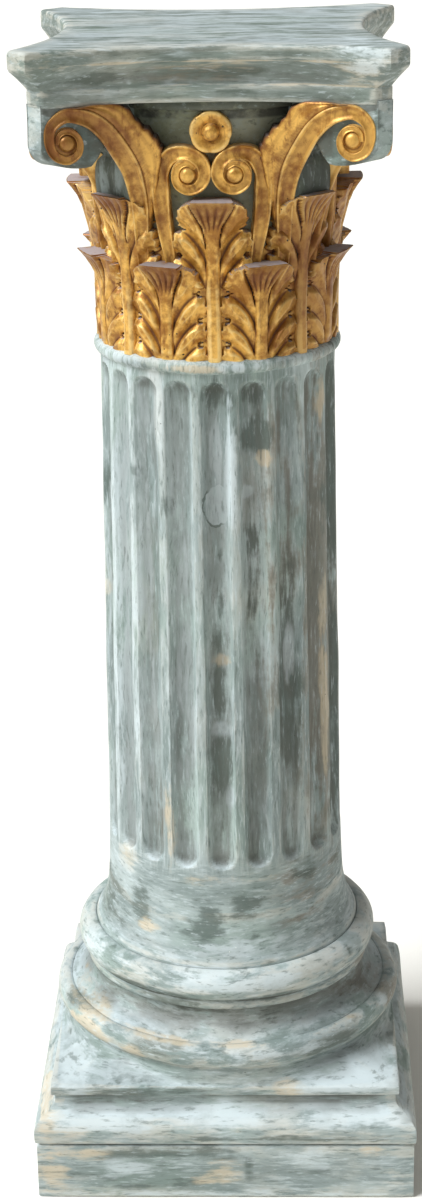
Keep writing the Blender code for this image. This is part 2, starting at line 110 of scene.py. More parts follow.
# Plinth
# The square foot of the casting: a block, a scored line, an ogee, a neck and a slab, with a hollow apron
# that sweeps up from the slab to the round base. Cast in a mould, brushed with a thin wash, worn at its edges.
PLINTH_SIDES = 320
PLINTH_LEVELS = [
    (0.1740, 0.0000), (0.1753, 0.0012), (0.1755, 0.0035), (0.1755, 0.0120), (0.1755, 0.0205), (0.1755, 0.0290),
    (0.1755, 0.0375), (0.1755, 0.0460), (0.1755, 0.0528), (0.1751, 0.0543), (0.1743, 0.0552), (0.1734, 0.0557),
    (0.1731, 0.0566), (0.1736, 0.0574), (0.1751, 0.0579), (0.1763, 0.0588), (0.1769, 0.0604), (0.1772, 0.0640),
    (0.1773, 0.0680), (0.1770, 0.0716), (0.1762, 0.0746), (0.1744, 0.0776), (0.1718, 0.0803), (0.1688, 0.0825),
    (0.1657, 0.0845), (0.1630, 0.0867), (0.1608, 0.0891), (0.1593, 0.0912), (0.1584, 0.0929), (0.1581, 0.0950),
    (0.1581, 0.0978), (0.1584, 0.0994), (0.1594, 0.1004), (0.1607, 0.1010), (0.1614, 0.1019), (0.1617, 0.1032),
    (0.1617, 0.1055), (0.1617, 0.1078), (0.1614, 0.1093), (0.1606, 0.1101),
]
APRON_FOOT = 0.1575
APRON_TOP = 0.1290
CORNER_SHARPNESS = 170.0


def drawn_up(shape, sides, levels, place):
    """A ring of edges extruded level by level: place(i, j) is where point i of level j goes."""
    ring = list(bmesh.ops.create_circle(shape, segments=sides, radius=1.0)["verts"])
    for i, vert in enumerate(ring):
        vert.co = place(i, 0)
    edges = [shape.edges.get((ring[i], ring[(i + 1) % sides])) for i in range(sides)]
    rims = [edges]
    for j in range(1, levels):
        drawn = bmesh.ops.extrude_edge_only(shape, edges=edges)["geom"]
        fresh = {item for item in drawn if isinstance(item, bmesh.types.BMVert)}
        ring = [next(e.other_vert(v) for e in v.link_edges if e.other_vert(v) in fresh) for v in ring]
        for i, vert in enumerate(ring):
            vert.co = place(i, j)
        edges = [shape.edges.get((ring[i], ring[(i + 1) % sides])) for i in range(sides)]
    rims.append(edges)
    for rim in rims:
        bmesh.ops.holes_fill(shape, edges=rim, sides=0)
    bmesh.ops.recalc_face_normals(shape, faces=shape.faces)


def uneven(shape, grain, reach):
    """Moves each point a little, as hand casting does. The ground and the top stay level."""
    for vert in shape.verts:
        spot = vert.co.copy()
        shift = noise.noise_vector(spot * grain) * reach
        if spot.z < 0.0008 or spot.z > 1.0493:
            shift.z = 0.0
        vert.co += shift
        vert.co.x = min(max(vert.co.x, cad_low.x), cad_high.x)
        vert.co.y = min(max(vert.co.y, cad_low.y), cad_high.y)
        vert.co.z = min(max(vert.co.z, cad_low.z), cad_high.z)


def points_of(mesh):
    points = np.empty(len(mesh.vertices) * 3)
    mesh.vertices.foreach_get("co", points)
    return points.reshape(-1, 3)


def write_layer(mesh, name, values):
    layer = mesh.attributes.new(name, "FLOAT", "POINT")
    layer.data.foreach_set("value", values.astype(np.float32))


def note_hollows(mesh, passes):
    """Writes how many millimetres each point lies below its surroundings: dirt and painted shade go in the hollows, and
    worn edges and painted highlights on the crests.
    """
    count = len(mesh.vertices)
    points = points_of(mesh)
    ends = np.empty(len(mesh.edges) * 2, dtype=np.int64)
    mesh.edges.foreach_get("vertices", ends)
    first, second = ends.reshape(-1, 2).T
    pull = 1 / np.maximum(np.linalg.norm(points[first] - points[second], axis=1), 0.0004)
    total = np.bincount(first, pull, count) + np.bincount(second, pull, count)
    smooth = points.copy()
    for _ in range(passes):
        around = np.stack([np.bincount(first, pull * smooth[second, k], count)
                           + np.bincount(second, pull * smooth[first, k], count) for k in range(3)], axis=1)
        smooth = 0.5 * smooth + 0.5 * around / np.maximum(total, 1e-9)[:, None]
    normals = np.empty(count * 3)
    mesh.vertices.foreach_get("normal", normals)
    write_layer(mesh, "hollow", ((smooth - points) * normals.reshape(-1, 3)).sum(axis=1) * 1000.0)


def note_marks(mesh, marks, is_round):
    """Writes where the coat lies thick, is rubbed bare, is dabbed pale, or is stained brown; some of these marks are
    painted shade and painted highlights.

    A mark is its kind, its place across and up, its reach across and up, and its strength. Across is in
    degrees from the front on a round piece, and in metres on the front of a flat one.
    """
    x, y, z = points_of(mesh).T
    across = np.degrees(np.arctan2(x, -y)) if is_round else np.where(y < -0.09, x, 9.0)
    for kind in ("thick", "bare_and_lit", "pale", "brown"):
        field = np.zeros(len(x))
        for named, place, height, reach, rise, strength in marks:
            if named == kind:
                far = np.hypot((across - place) / reach, (z - height) / rise)
                field = np.maximum(field, strength * np.exp(-0.62 * far ** 2.4))
        write_layer(mesh, kind, field)


def cast_piece(name, shape, paint, passes, marks=(), is_round=True):
    """Finishes one visible part of the casting and rides it on the object."""
    mesh = bpy.data.meshes.new(name)
    shape.to_mesh(mesh)
    shape.free()
    piece = bpy.data.objects.new(name, mesh)
    bpy.context.scene.collection.objects.link(piece)
    mesh.shade_smooth()
    mesh.set_sharp_from_angle(angle=math.radians(50))
    note_hollows(mesh, passes)
    note_marks(mesh, marks, is_round)
    mesh.materials.append(paint)
    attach(piece, "root")
    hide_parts("column")
    return piece


def node(tree, kind, settings=None, **links):
    """A shader node with its settings, and each input given a value or another node's output."""
    made = tree.nodes.new(kind)
    for key, value in (settings or {}).items():
        setattr(made, key, value)
    for key, value in links.items():
        socket = made.inputs[int(key[1:])] if key[0] == "i" and key[1:].isdigit() else made.inputs[key.replace("_", " ")]
        if isinstance(value, bpy.types.NodeSocket):
            tree.links.new(value, socket)
        else:
            socket.default_value = value
    return made


def effect(name, inputs, outputs):
    """An empty shader group with named sockets; returns its tree, its input node and its output node."""
    tree = bpy.data.node_groups.new(name, "ShaderNodeTree")
    for label, kind, value in inputs:
        socket = tree.interface.new_socket(label, in_out="INPUT", socket_type=kind)
        socket.default_value = value
    for label, kind in outputs:
        tree.interface.new_socket(label, in_out="OUTPUT", socket_type=kind)
    return tree, tree.nodes.new("NodeGroupInput"), tree.nodes.new("NodeGroupOutput")


def ramp(tree, value, low, high, start=0.0, end=1.0):
    """A smooth step of a value from low to high."""
    return node(tree, "ShaderNodeMapRange", {"interpolation_type": "SMOOTHSTEP", "clamp": True},
                Value=value, From_Min=low, From_Max=high, To_Min=start, To_Max=end).outputs[0]


def blend_colour(tree, share, under, over):
    """One colour laid over another by a share."""
    made = node(tree, "ShaderNodeMix", {"data_type": "RGBA", "clamp_factor": True})
    for socket, value in ((made.inputs[0], share), (made.inputs[6], under), (made.inputs[7], over)):
        if isinstance(value, bpy.types.NodeSocket):
            tree.links.new(value, socket)
        else:
            socket.default_value = value
    return made.outputs[2]


def reckon(tree, kind, *values):
    return node(tree, "ShaderNodeMath", {"operation": kind, "use_clamp": False},
                **{f"i{i}": value for i, value in enumerate(values)}).outputs[0]


def pull(tree, value, socket):
    tree.links.new(value, socket)


def shifted(tree, place, shift):
    return node(tree, "ShaderNodeVectorMath", {"operation": "ADD"}, i0=place, i1=shift).outputs[0]


def haze(tree, place, scale, detail=4.0, roughness=0.6, shift=(0.0, 0.0, 0.0)):
    """Plain noise at a place."""
    return node(tree, "ShaderNodeTexNoise", {}, Vector=shifted(tree, place, shift), Scale=scale, Detail=detail,
                Roughness=roughness).outputs[0]


# brush strokes: noise drawn out along one way, so that a coat shows its brush
tree, given, out = effect("brush strokes",
                          [("Place", "NodeSocketVector", (0, 0, 0)), ("Grain", "NodeSocketVector", (60, 60, 7)),
                           ("Size", "NodeSocketFloat", 1.0)],
                          [("Bristle", "NodeSocketFloat")])
bent = node(tree, "ShaderNodeTexNoise", {}, Vector=given.outputs["Place"], Scale=9.0, Detail=2.0)
swayed = node(tree, "ShaderNodeVectorMath", {"operation": "SCALE"}, i0=bent.outputs["Color"], Scale=0.016)
moved = node(tree, "ShaderNodeVectorMath", {"operation": "ADD"}, i0=given.outputs["Place"], i1=swayed.outputs[0])
drawn = node(tree, "ShaderNodeVectorMath", {"operation": "MULTIPLY"}, i0=moved.outputs[0],
             i1=given.outputs["Grain"])
sized = node(tree, "ShaderNodeVectorMath", {"operation": "SCALE"}, i0=drawn.outputs[0], Scale=given.outputs["Size"])
pull(tree, node(tree, "ShaderNodeTexNoise", {}, Vector=sized.outputs[0], Scale=1.0, Detail=6.0,
                Roughness=0.62).outputs[0], out.inputs["Bristle"])
brush_strokes = tree

# pinholes: the small black air holes that a casting shows, gathered in some places
tree, given, out = effect("pinholes",
                          [("Place", "NodeSocketVector", (0, 0, 0)), ("Spacing", "NodeSocketFloat", 150.0),
                           ("Size", "NodeSocketFloat", 0.15), ("Share", "NodeSocketFloat", 0.35)],
                          [("Mask", "NodeSocketFloat")])
cells = node(tree, "ShaderNodeTexVoronoi", {"feature": "F1"}, Vector=given.outputs["Place"],
             Scale=given.outputs["Spacing"])
luck = node(tree, "ShaderNodeSeparateColor", {}, Color=cells.outputs["Color"])
chance = reckon(tree, "MULTIPLY", luck.outputs[0], ramp(tree, haze(tree, given.outputs["Place"], 13.0, 2.0), 0.38, 0.70))
wide = reckon(tree, "MULTIPLY", given.outputs["Size"],
              ramp(tree, chance, reckon(tree, "SUBTRACT", 1.0, given.outputs["Share"]), 1.0))
near = reckon(tree, "SUBTRACT", wide, cells.outputs["Distance"])
pull(tree, ramp(tree, near, 0.0, 0.04), out.inputs["Mask"])
pinholes = tree

# washed coat: a thin wash over plaster, with its strokes, worn edges with painted highlights, rubbed and thick places,
# pale dust with painted sky light on faces that look up, dirt and painted shade in hollows, and holes
tree, given, out = effect("washed coat",
                          [("Place", "NodeSocketVector", (0, 0, 0)), ("Grain", "NodeSocketVector", (60, 60, 7)),
                           ("Hollow", "NodeSocketFloat", 0.0), ("Thick", "NodeSocketFloat", 0.0),
                           ("Bare_and_lit", "NodeSocketFloat", 0.0), ("Pale", "NodeSocketFloat", 0.0),
                           ("Brown", "NodeSocketFloat", 0.0), ("Contrast", "NodeSocketFloat", 1.0),
                           ("Up", "NodeSocketFloat", 0.0), ("Edge wear", "NodeSocketFloat", 0.5),
                           ("Wash", "NodeSocketColor", (0.215, 0.265, 0.258, 1)),
                           ("Thin wash", "NodeSocketColor", (0.37, 0.435, 0.43, 1)),
                           ("Thick wash", "NodeSocketColor", (0.075, 0.105, 0.09, 1)),
                           ("Cream", "NodeSocketColor", (0.60, 0.58, 0.50, 1)),
                           ("Beige", "NodeSocketColor", (0.60, 0.51, 0.365, 1)),
                           ("Stroke", "NodeSocketColor", (0.58, 0.66, 0.68, 1)),
                           ("Dust", "NodeSocketColor", (0.58, 0.66, 0.70, 1)),
                           ("Dirt", "NodeSocketColor", (0.06, 0.06, 0.045, 1))],
                          [("Colour", "NodeSocketColor"), ("Roughness", "NodeSocketFloat"),
                           ("Height", "NodeSocketFloat")])
place, contrast = given.outputs["Place"], given.outputs["Contrast"]


def bristle(size, shift=(0.0, 0.0, 0.0)):
    return node(tree, "ShaderNodeGroup", {"node_tree": brush_strokes}, Place=shifted(tree, place, shift),
                Grain=given.outputs["Grain"], Size=size).outputs[0]


def share_of(amount, *masks):
    value = reckon(tree, "MULTIPLY", contrast, amount)
    for mask in masks:
        value = reckon(tree, "MULTIPLY", value, mask)
    return value


fine = bristle(2.0)
broad = bristle(0.35, (3.0, 1.0, 2.0))
bold = bristle(1.0, (7.0, 4.0, 1.0))
hair = bristle(4.5, (1.0, 9.0, 5.0))
soft = haze(tree, place, 7.0, 3.0, 0.5, (5.0, 2.0, 8.0))
cloud = haze(tree, place, 28.0, 6.0, 0.65, (2.0, 6.0, 1.0))
torn = reckon(tree, "ADD", reckon(tree, "MULTIPLY", reckon(tree, "SUBTRACT", bold, 0.5), 2.4),
              reckon(tree, "MULTIPLY", reckon(tree, "SUBTRACT", cloud, 0.5), 1.6))
torn = reckon(tree, "ADD", torn, reckon(tree, "MULTIPLY", reckon(tree, "SUBTRACT", fine, 0.5), 1.2))
colour = blend_colour(tree, ramp(tree, reckon(tree, "ADD", broad, reckon(tree, "MULTIPLY", torn, 0.10)), 0.36, 0.64),
                      given.outputs["Wash"], given.outputs["Thin wash"])
greened = node(tree, "ShaderNodeMix", {"data_type": "RGBA", "blend_type": "MULTIPLY"}, i0=1.0, i6=colour,
               i7=(0.84, 0.93, 0.82, 1.0)).outputs[2]
colour = blend_colour(tree, share_of(0.6, ramp(tree, soft, 0.46, 0.66)), colour, greened)
colour = blend_colour(tree, share_of(0.45, ramp(tree, fine, 0.48, 0.70)), colour, given.outputs["Stroke"])
# pale dust and painted sky light: the faces that look up are lighter and bluer
colour = blend_colour(tree, share_of(0.60, ramp(tree, given.outputs["Up"], 0.15, 0.85),
                                     ramp(tree, torn, -0.45, 0.25)), colour, given.outputs["Dust"])
patchy = reckon(tree, "MULTIPLY_ADD", torn, 0.16, haze(tree, place, 10.0, 4.0, 0.6, (8.0, 8.0, 2.0)))
colour = blend_colour(tree, share_of(0.32, ramp(tree, patchy, 0.50, 0.74)), colour, given.outputs["Cream"])
colour = blend_colour(tree, share_of(0.55, ramp(tree, torn, 0.02, 0.60), ramp(tree, soft, 0.40, 0.60)), colour,
                      given.outputs["Thick wash"])
# worn edges and painted highlights: cream on the crests
edges = share_of(given.outputs["Edge wear"], ramp(tree, given.outputs["Hollow"], -0.05, -0.40),
                 ramp(tree, torn, -0.25, 0.20))
colour = blend_colour(tree, edges, colour, given.outputs["Cream"])
# marks laid over the coat: some thick and brown marks are painted shade, and some pale and bare marks are painted
# highlights
for named, over, amount in (("Brown", (0.17, 0.135, 0.09, 1.0), 0.65), ("Thick", given.outputs["Thick wash"], 0.80),
                            ("Bare_and_lit", given.outputs["Beige"], 0.72), ("Pale", given.outputs["Stroke"], 0.72)):
    field = reckon(tree, "MULTIPLY_ADD", torn, 0.80, given.outputs[named])
    marked = reckon(tree, "MULTIPLY", ramp(tree, field, 0.24, 0.72), ramp(tree, given.outputs[named], 0.03, 0.28))
    colour = blend_colour(tree, reckon(tree, "MULTIPLY", marked, amount), colour, over)
colour = blend_colour(tree, share_of(0.55, ramp(tree, hair, 0.54, 0.68)), colour, given.outputs["Thick wash"])
colour = blend_colour(tree, share_of(0.45, ramp(tree, hair, 0.44, 0.33)), colour, given.outputs["Stroke"])
colour = blend_colour(tree, share_of(0.30, ramp(tree, cloud, 0.50, 0.72)), colour, given.outputs["Wash"])
# dirt and painted shade: darker the deeper a point lies in a hollow
dirt_and_shade = reckon(tree, "MULTIPLY", ramp(tree, given.outputs["Hollow"], 0.12, 0.70), ramp(tree, torn, -0.50, 0.20))
colour = blend_colour(tree, reckon(tree, "MULTIPLY", dirt_and_shade, 0.75), colour, given.outputs["Dirt"])
chips = node(tree, "ShaderNodeGroup", {"node_tree": pinholes}, Place=shifted(tree, place, (1.0, 2.0, 3.0)),
             Spacing=170.0, Size=0.14, Share=0.35).outputs[0]
colour = blend_colour(tree, reckon(tree, "MULTIPLY", chips, 0.75), colour, (0.80, 0.80, 0.74, 1.0))
holes = node(tree, "ShaderNodeGroup", {"node_tree": pinholes}, Place=place, Spacing=210.0).outputs[0]
colour = blend_colour(tree, reckon(tree, "MULTIPLY", holes, 0.85), colour, (0.035, 0.035, 0.028, 1.0))
pull(tree, colour, out.inputs["Colour"])
pull(tree, ramp(tree, fine, 0.35, 0.70, 0.70, 0.55), out.inputs["Roughness"])
grit = haze(tree, place, 420.0)
height = reckon(tree, "ADD", reckon(tree, "MULTIPLY", grit, 0.22), reckon(tree, "MULTIPLY", fine, 0.5))
pull(tree, reckon(tree, "MULTIPLY_ADD", holes, -1.6, height), out.inputs["Height"])
washed_coat = tree


def facing_up(tree):
    return node(tree, "ShaderNodeSeparateXYZ", {},
                Vector=tree.nodes.new("ShaderNodeNewGeometry").outputs["True Normal"]).outputs[2]


def washed_plaster(name, grain, foot_grain=None, **colours):
    """A material of the washed coat: its grain, that of the shaft's plain foot, and any colours of its own."""
    paint = bpy.data.materials.new(name)
    paint.use_nodes = True
    tree = paint.node_tree
    shader = tree.nodes["Principled BSDF"]
    place = tree.nodes.new("ShaderNodeTexCoord").outputs["Object"]
    coats = []
    for way in (grain, foot_grain) if foot_grain else (grain,):
        coat = node(tree, "ShaderNodeGroup", {"node_tree": washed_coat}, Place=place, Grain=way, Up=facing_up(tree))
        for layer in ("hollow", "thick", "bare_and_lit", "pale", "brown"):
            pull(tree, node(tree, "ShaderNodeAttribute", {"attribute_name": layer}).outputs["Fac"],
                 coat.inputs[layer.capitalize()])
        for socket, value in colours.items():
            coat.inputs[socket.replace("_", " ")].default_value = value
        coats.append(coat)
    colour, height = coats[0].outputs["Colour"], coats[0].outputs["Height"]
    if foot_grain:
        level = reckon(tree, "MULTIPLY_ADD", haze(tree, place, 45.0), 0.05,
                       node(tree, "ShaderNodeSeparateXYZ", {}, Vector=place).outputs[2])
        low_down = ramp(tree, level, 0.350, 0.315)
        colour = blend_colour(tree, low_down, colour, coats[1].outputs["Colour"])
        height = node(tree, "ShaderNodeMix", {"data_type": "FLOAT"}, i0=low_down, i2=height,
                      i3=coats[1].outputs["Height"]).outputs[0]
    pull(tree, colour, shader.inputs["Base Color"])
    pull(tree, coats[0].outputs["Roughness"], shader.inputs["Roughness"])
    bump = node(tree, "ShaderNodeBump", {}, Strength=0.35, Distance=0.0008, Height=height)
    pull(tree, bump.outputs[0], shader.inputs["Normal"])
    return paint


def apron_levels():
    """Levels of the hollow apron, as a share from the slab's edge in to the round base."""
    return [math.radians(90 * k / 14) for k in range(1, 15)]


def plinth_place(i, j):
    share = 4 * i / PLINTH_SIDES
    quarter = math.floor(share)
    along = share - quarter
    turn = (quarter + along - 0.92 * math.sin(2 * math.pi * along) / (2 * math.pi)) * math.pi / 2
    c, s = math.cos(turn), math.sin(turn)
    reach = (abs(c) ** CORNER_SHARPNESS + abs(s) ** CORNER_SHARPNESS) ** (-1 / CORNER_SHARPNESS)
    if j < len(PLINTH_LEVELS):
        half, z = PLINTH_LEVELS[j]
        return Vector((c * reach * half, s * reach * half, z))
    outer = reach * PLINTH_LEVELS[-1][0]
    slab_z = PLINTH_LEVELS[-1][1]
    if j < len(PLINTH_LEVELS) + 14:
        a = apron_levels()[j - len(PLINTH_LEVELS)]
        radius = outer - (outer - APRON_FOOT) * math.sin(a)
        return Vector((c * radius, s * radius, slab_z + (APRON_TOP - slab_z) * (1 - math.cos(a))))
    return Vector((c * 0.120, s * 0.120, APRON_TOP + 0.001))


PLINTH_MARKS = (
    ("thick", -0.062, 0.105, 0.050, 0.0045, 0.9), ("bare_and_lit", 0.059, 0.107, 0.011, 0.006, 1.0),
    ("pale", 0.116, 0.109, 0.048, 0.006, 0.8), ("pale", -0.140, 0.117, 0.013, 0.014, 0.9),
    ("pale", -0.118, 0.081, 0.042, 0.010, 0.8), ("pale", 0.0, 0.084, 0.038, 0.010, 0.8),
    ("pale", 0.115, 0.082, 0.048, 0.010, 0.8), ("bare_and_lit", -0.165, 0.081, 0.011, 0.013, 0.8),
    ("bare_and_lit", -0.138, 0.0717, 0.019, 0.004, 0.6), ("bare_and_lit", 0.014, 0.0717, 0.008, 0.004, 0.6),
    ("thick", 0.062, 0.0645, 0.115, 0.003, 0.7), ("bare_and_lit", -0.161, 0.030, 0.012, 0.022, 0.8),
    ("bare_and_lit", -0.131, 0.0475, 0.018, 0.009, 0.6), ("pale", -0.089, 0.031, 0.024, 0.009, 0.7),
    ("thick", -0.044, 0.047, 0.068, 0.007, 0.7), ("bare_and_lit", -0.007, 0.0266, 0.021, 0.010, 0.8),
    ("thick", 0.022, 0.030, 0.005, 0.013, 0.7), ("pale", 0.074, 0.042, 0.047, 0.011, 0.6),
    ("thick", 0.087, 0.026, 0.018, 0.004, 0.8), ("bare_and_lit", 0.135, 0.0505, 0.013, 0.004, 0.8),
    ("thick", -0.070, 0.020, 0.044, 0.008, 0.55), ("pale", 0.0, 0.005, 0.17, 0.003, 0.6),
)
plinth_paint = washed_plaster("plinth wash", (14, 14, 95))
shape = bmesh.new()
drawn_up(shape, PLINTH_SIDES, len(PLINTH_LEVELS) + 15, plinth_place)
uneven(shape, 26.0, 0.0005)
cast_piece("plinth", shape, plinth_paint, 6, PLINTH_MARKS, is_round=False)

# Round base
# Two rolls with a hollow between them, turned on the model, under the flared foot of the shaft. A thin
# dark line of dirt and painted shade lies where one moulding meets the next.
BASE_SIDES = 160
BASE_LEVELS = [(0.1480, 0.1262), (0.1560, 0.1270)]
BASE_LEVELS += [(0.15435 + 0.01135 * math.cos(math.radians(a)), 0.13905 + 0.01145 * math.sin(math.radians(a)))
                for a in range(-78, 97, 9)]
BASE_LEVELS += [(0.1523, 0.1500), (0.1516, 0.1496), (0.1508, 0.1503), (0.1490, 0.1512), (0.1460, 0.1525),
                (0.1425, 0.1544), (0.1390, 0.1569), (0.1358, 0.1600), (0.1332, 0.1636), (0.1314, 0.1675),
                (0.1304, 0.1712), (0.1303, 0.1738), (0.1310, 0.1756), (0.1326, 0.1765), (0.1348, 0.1768),
                (0.1356, 0.1776), (0.1356, 0.1806), (0.1352, 0.1834), (0.1346, 0.1842)]
BASE_LEVELS += [(0.1277 + 0.0150 * math.cos(math.radians(a)), 0.1988 + 0.0150 * math.sin(math.radians(a)))
                for a in range(-62, 91, 9)]
BASE_LEVELS += [(0.1268, 0.2136), (0.1262, 0.2130), (0.1257, 0.2138), (0.1254, 0.2155), (0.1240, 0.2180),
                (0.1215, 0.2215), (0.1193, 0.2260), (0.1172, 0.2320), (0.1152, 0.2395), (0.1136, 0.2480),
                (0.1126, 0.2560), (0.1121, 0.2640), (0.1080, 0.2642)]


def base_place(i, j):
    turn = 2 * math.pi * i / BASE_SIDES
    radius, z = BASE_LEVELS[j]
    return Vector((radius * math.cos(turn), radius * math.sin(turn), z))


# The thick marks along the underside of the upper roll are painted shade, the thin bare lines along the fillets are
# painted highlights, and the brown marks on the right are partly painted shade.
BASE_MARKS = (
    ("thick", -9.4, 0.250, 8.5, 0.019, 1.0), ("thick", 11.9, 0.272, 8.0, 0.016, 0.75), ("thick", 13.8, 0.240, 3.0, 0.0035, 0.9),
    ("thick", -44.5, 0.260, 7.0, 0.020, 0.75), ("thick", -68.8, 0.252, 16.0, 0.027, 0.55), ("bare_and_lit", -38.4, 0.2414, 5.5, 0.0045, 0.8),
    ("brown", 42.0, 0.272, 14.0, 0.030, 0.6), ("pale", 4.0, 0.2315, 28.0, 0.008, 0.6),
    ("pale", -5.4, 0.204, 17.0, 0.010, 1.0), ("bare_and_lit", -8.9, 0.1976, 8.0, 0.0045, 0.8), ("bare_and_lit", -17.0, 0.2000, 3.0, 0.0040, 0.7),
    ("pale", 20.0, 0.2035, 8.0, 0.006, 0.8), ("thick", -27.0, 0.1885, 26.0, 0.0050, 0.85),
    ("thick", 14.0, 0.1870, 16.0, 0.0035, 0.7), ("thick", -20.0, 0.2010, 5.0, 0.0060, 0.5),
    ("pale", -61.3, 0.205, 14.0, 0.015, 0.6), ("thick", 57.0, 0.206, 2.3, 0.004, 0.8),
    ("thick", -23.6, 0.178, 18.0, 0.010, 0.65), ("thick", 15.6, 0.166, 6.0, 0.008, 0.5), ("bare_and_lit", -69.0, 0.157, 14.0, 0.006, 0.45),
    ("bare_and_lit", -53.4, 0.137, 9.0, 0.013, 1.0), ("bare_and_lit", -31.8, 0.1305, 3.6, 0.009, 1.0), ("pale", -38.8, 0.130, 2.6, 0.005, 0.9),
    ("thick", 34.7, 0.140, 16.0, 0.010, 0.65), ("pale", 3.9, 0.1404, 3.8, 0.007, 0.8), ("thick", -63.0, 0.147, 10.0, 0.006, 0.6),
    ("thick", -19.8, 0.144, 18.0, 0.007, 0.55), ("pale", 20.3, 0.1433, 12.0, 0.006, 0.65), ("pale", 65.9, 0.1465, 2.8, 0.004, 0.8),
    ("brown", 75.0, 0.160, 22.0, 0.03, 0.5), ("bare_and_lit", 0.0, 0.1504, 60.0, 0.0012, 0.5), ("bare_and_lit", 0.0, 0.2165, 70.0, 0.0012, 0.4),
)
BASE_GRAIN = (20, 20, 90)
base_paint = washed_plaster("base wash", BASE_GRAIN, Edge_wear=0.5)
shape = bmesh.new()
drawn_up(shape, BASE_SIDES, len(BASE_LEVELS), base_place)
uneven(shape, 24.0, 0.0005)
cast_piece("round_base", shape, base_paint, 6, BASE_MARKS)

# Fluted shaft
# Twenty shallow flutes with round scooped ends between flat fillets, up to the bead under the capital.
# The wash runs down the shaft in long strokes, and is browner and darker on the right, partly as painted shade,
# and paler on the left, partly as painted light.
FLUTES = 20
FLUTE_STEPS = (-1.0, -0.81, -0.765, -0.72, -0.64, -0.50, -0.34, -0.17, 0.0, 0.17, 0.34, 0.50, 0.64, 0.72, 0.765, 0.81)
FLUTE_HALF = 0.0130
FLUTE_DEPTH = 0.0075
FLUTE_LOW = 0.3063
FLUTE_HIGH = 0.7661
SHAFT_SIDES = FLUTES * len(FLUTE_STEPS)
SHAFT_RADII = ((0.240, 0.1130), (0.262, 0.1119), (0.308, 0.1103), (0.350, 0.1096), (0.391, 0.1094), (0.432, 0.1089),
               (0.472, 0.1085), (0.512, 0.1078), (0.552, 0.1070), (0.590, 0.1066), (0.629, 0.1062), (0.667, 0.1058),
               (0.750, 0.1045), (0.772, 0.1043))
BEAD_MIDDLE = 0.77845
BEAD_HALF = 0.00615
BEAD_RADIUS = 0.1097
FLUTE_BEND = (FLUTE_HALF ** 2 + FLUTE_DEPTH ** 2) / (2 * FLUTE_DEPTH)

end_rows = [FLUTE_HALF * step for step in (0.0, 0.04, 0.10, 0.18, 0.28, 0.40, 0.54, 0.70, 0.86, 1.0)]
shaft_rows = [0.2560, 0.2590, 0.2660, 0.2740, 0.2820, 0.2900, 0.2980, 0.3040, 0.3055]
shaft_rows += [FLUTE_LOW + rise for rise in end_rows]
shaft_rows += [FLUTE_LOW + FLUTE_HALF + (FLUTE_HIGH - FLUTE_LOW - 2 * FLUTE_HALF) * k / 96 for k in range(1, 96)]
shaft_rows += [FLUTE_HIGH - rise for rise in reversed(end_rows)]
shaft_rows += [0.7668, 0.7690, 0.7712]
SHAFT_LEVELS = [(None, z) for z in shaft_rows] + [(0.1046, 0.7722)]
SHAFT_LEVELS += [(BEAD_RADIUS - BEAD_HALF + BEAD_HALF * math.cos(math.radians(a)),
                  BEAD_MIDDLE + BEAD_HALF * math.sin(math.radians(a))) for a in range(-80, 91, 17)]
SHAFT_LEVELS.append((0.0970, 0.7846))
SHAFT_ROWS_Z = [z for z, _ in SHAFT_RADII]
SHAFT_ROWS_R = [r for _, r in SHAFT_RADII]


def shaft_place(i, j):
    flute, part = divmod(i, len(FLUTE_STEPS))
    step = FLUTE_STEPS[part]
    turn = -math.pi / 2 + (flute + step / 2) * 2 * math.pi / FLUTES
    radius, z = SHAFT_LEVELS[j]
    if radius is None:
        radius = float(np.interp(z, SHAFT_ROWS_Z, SHAFT_ROWS_R))
        aside = step * math.pi * radius / FLUTES
        beyond = max(0.0, FLUTE_LOW + FLUTE_HALF - z, z - FLUTE_HIGH + FLUTE_HALF)
        off = math.hypot(aside, beyond)
        if off < FLUTE_HALF:
            radius -= math.sqrt(FLUTE_BEND ** 2 - off ** 2) - (FLUTE_BEND - FLUTE_DEPTH)
    return Vector((radius * math.cos(turn), radius * math.sin(turn), z))
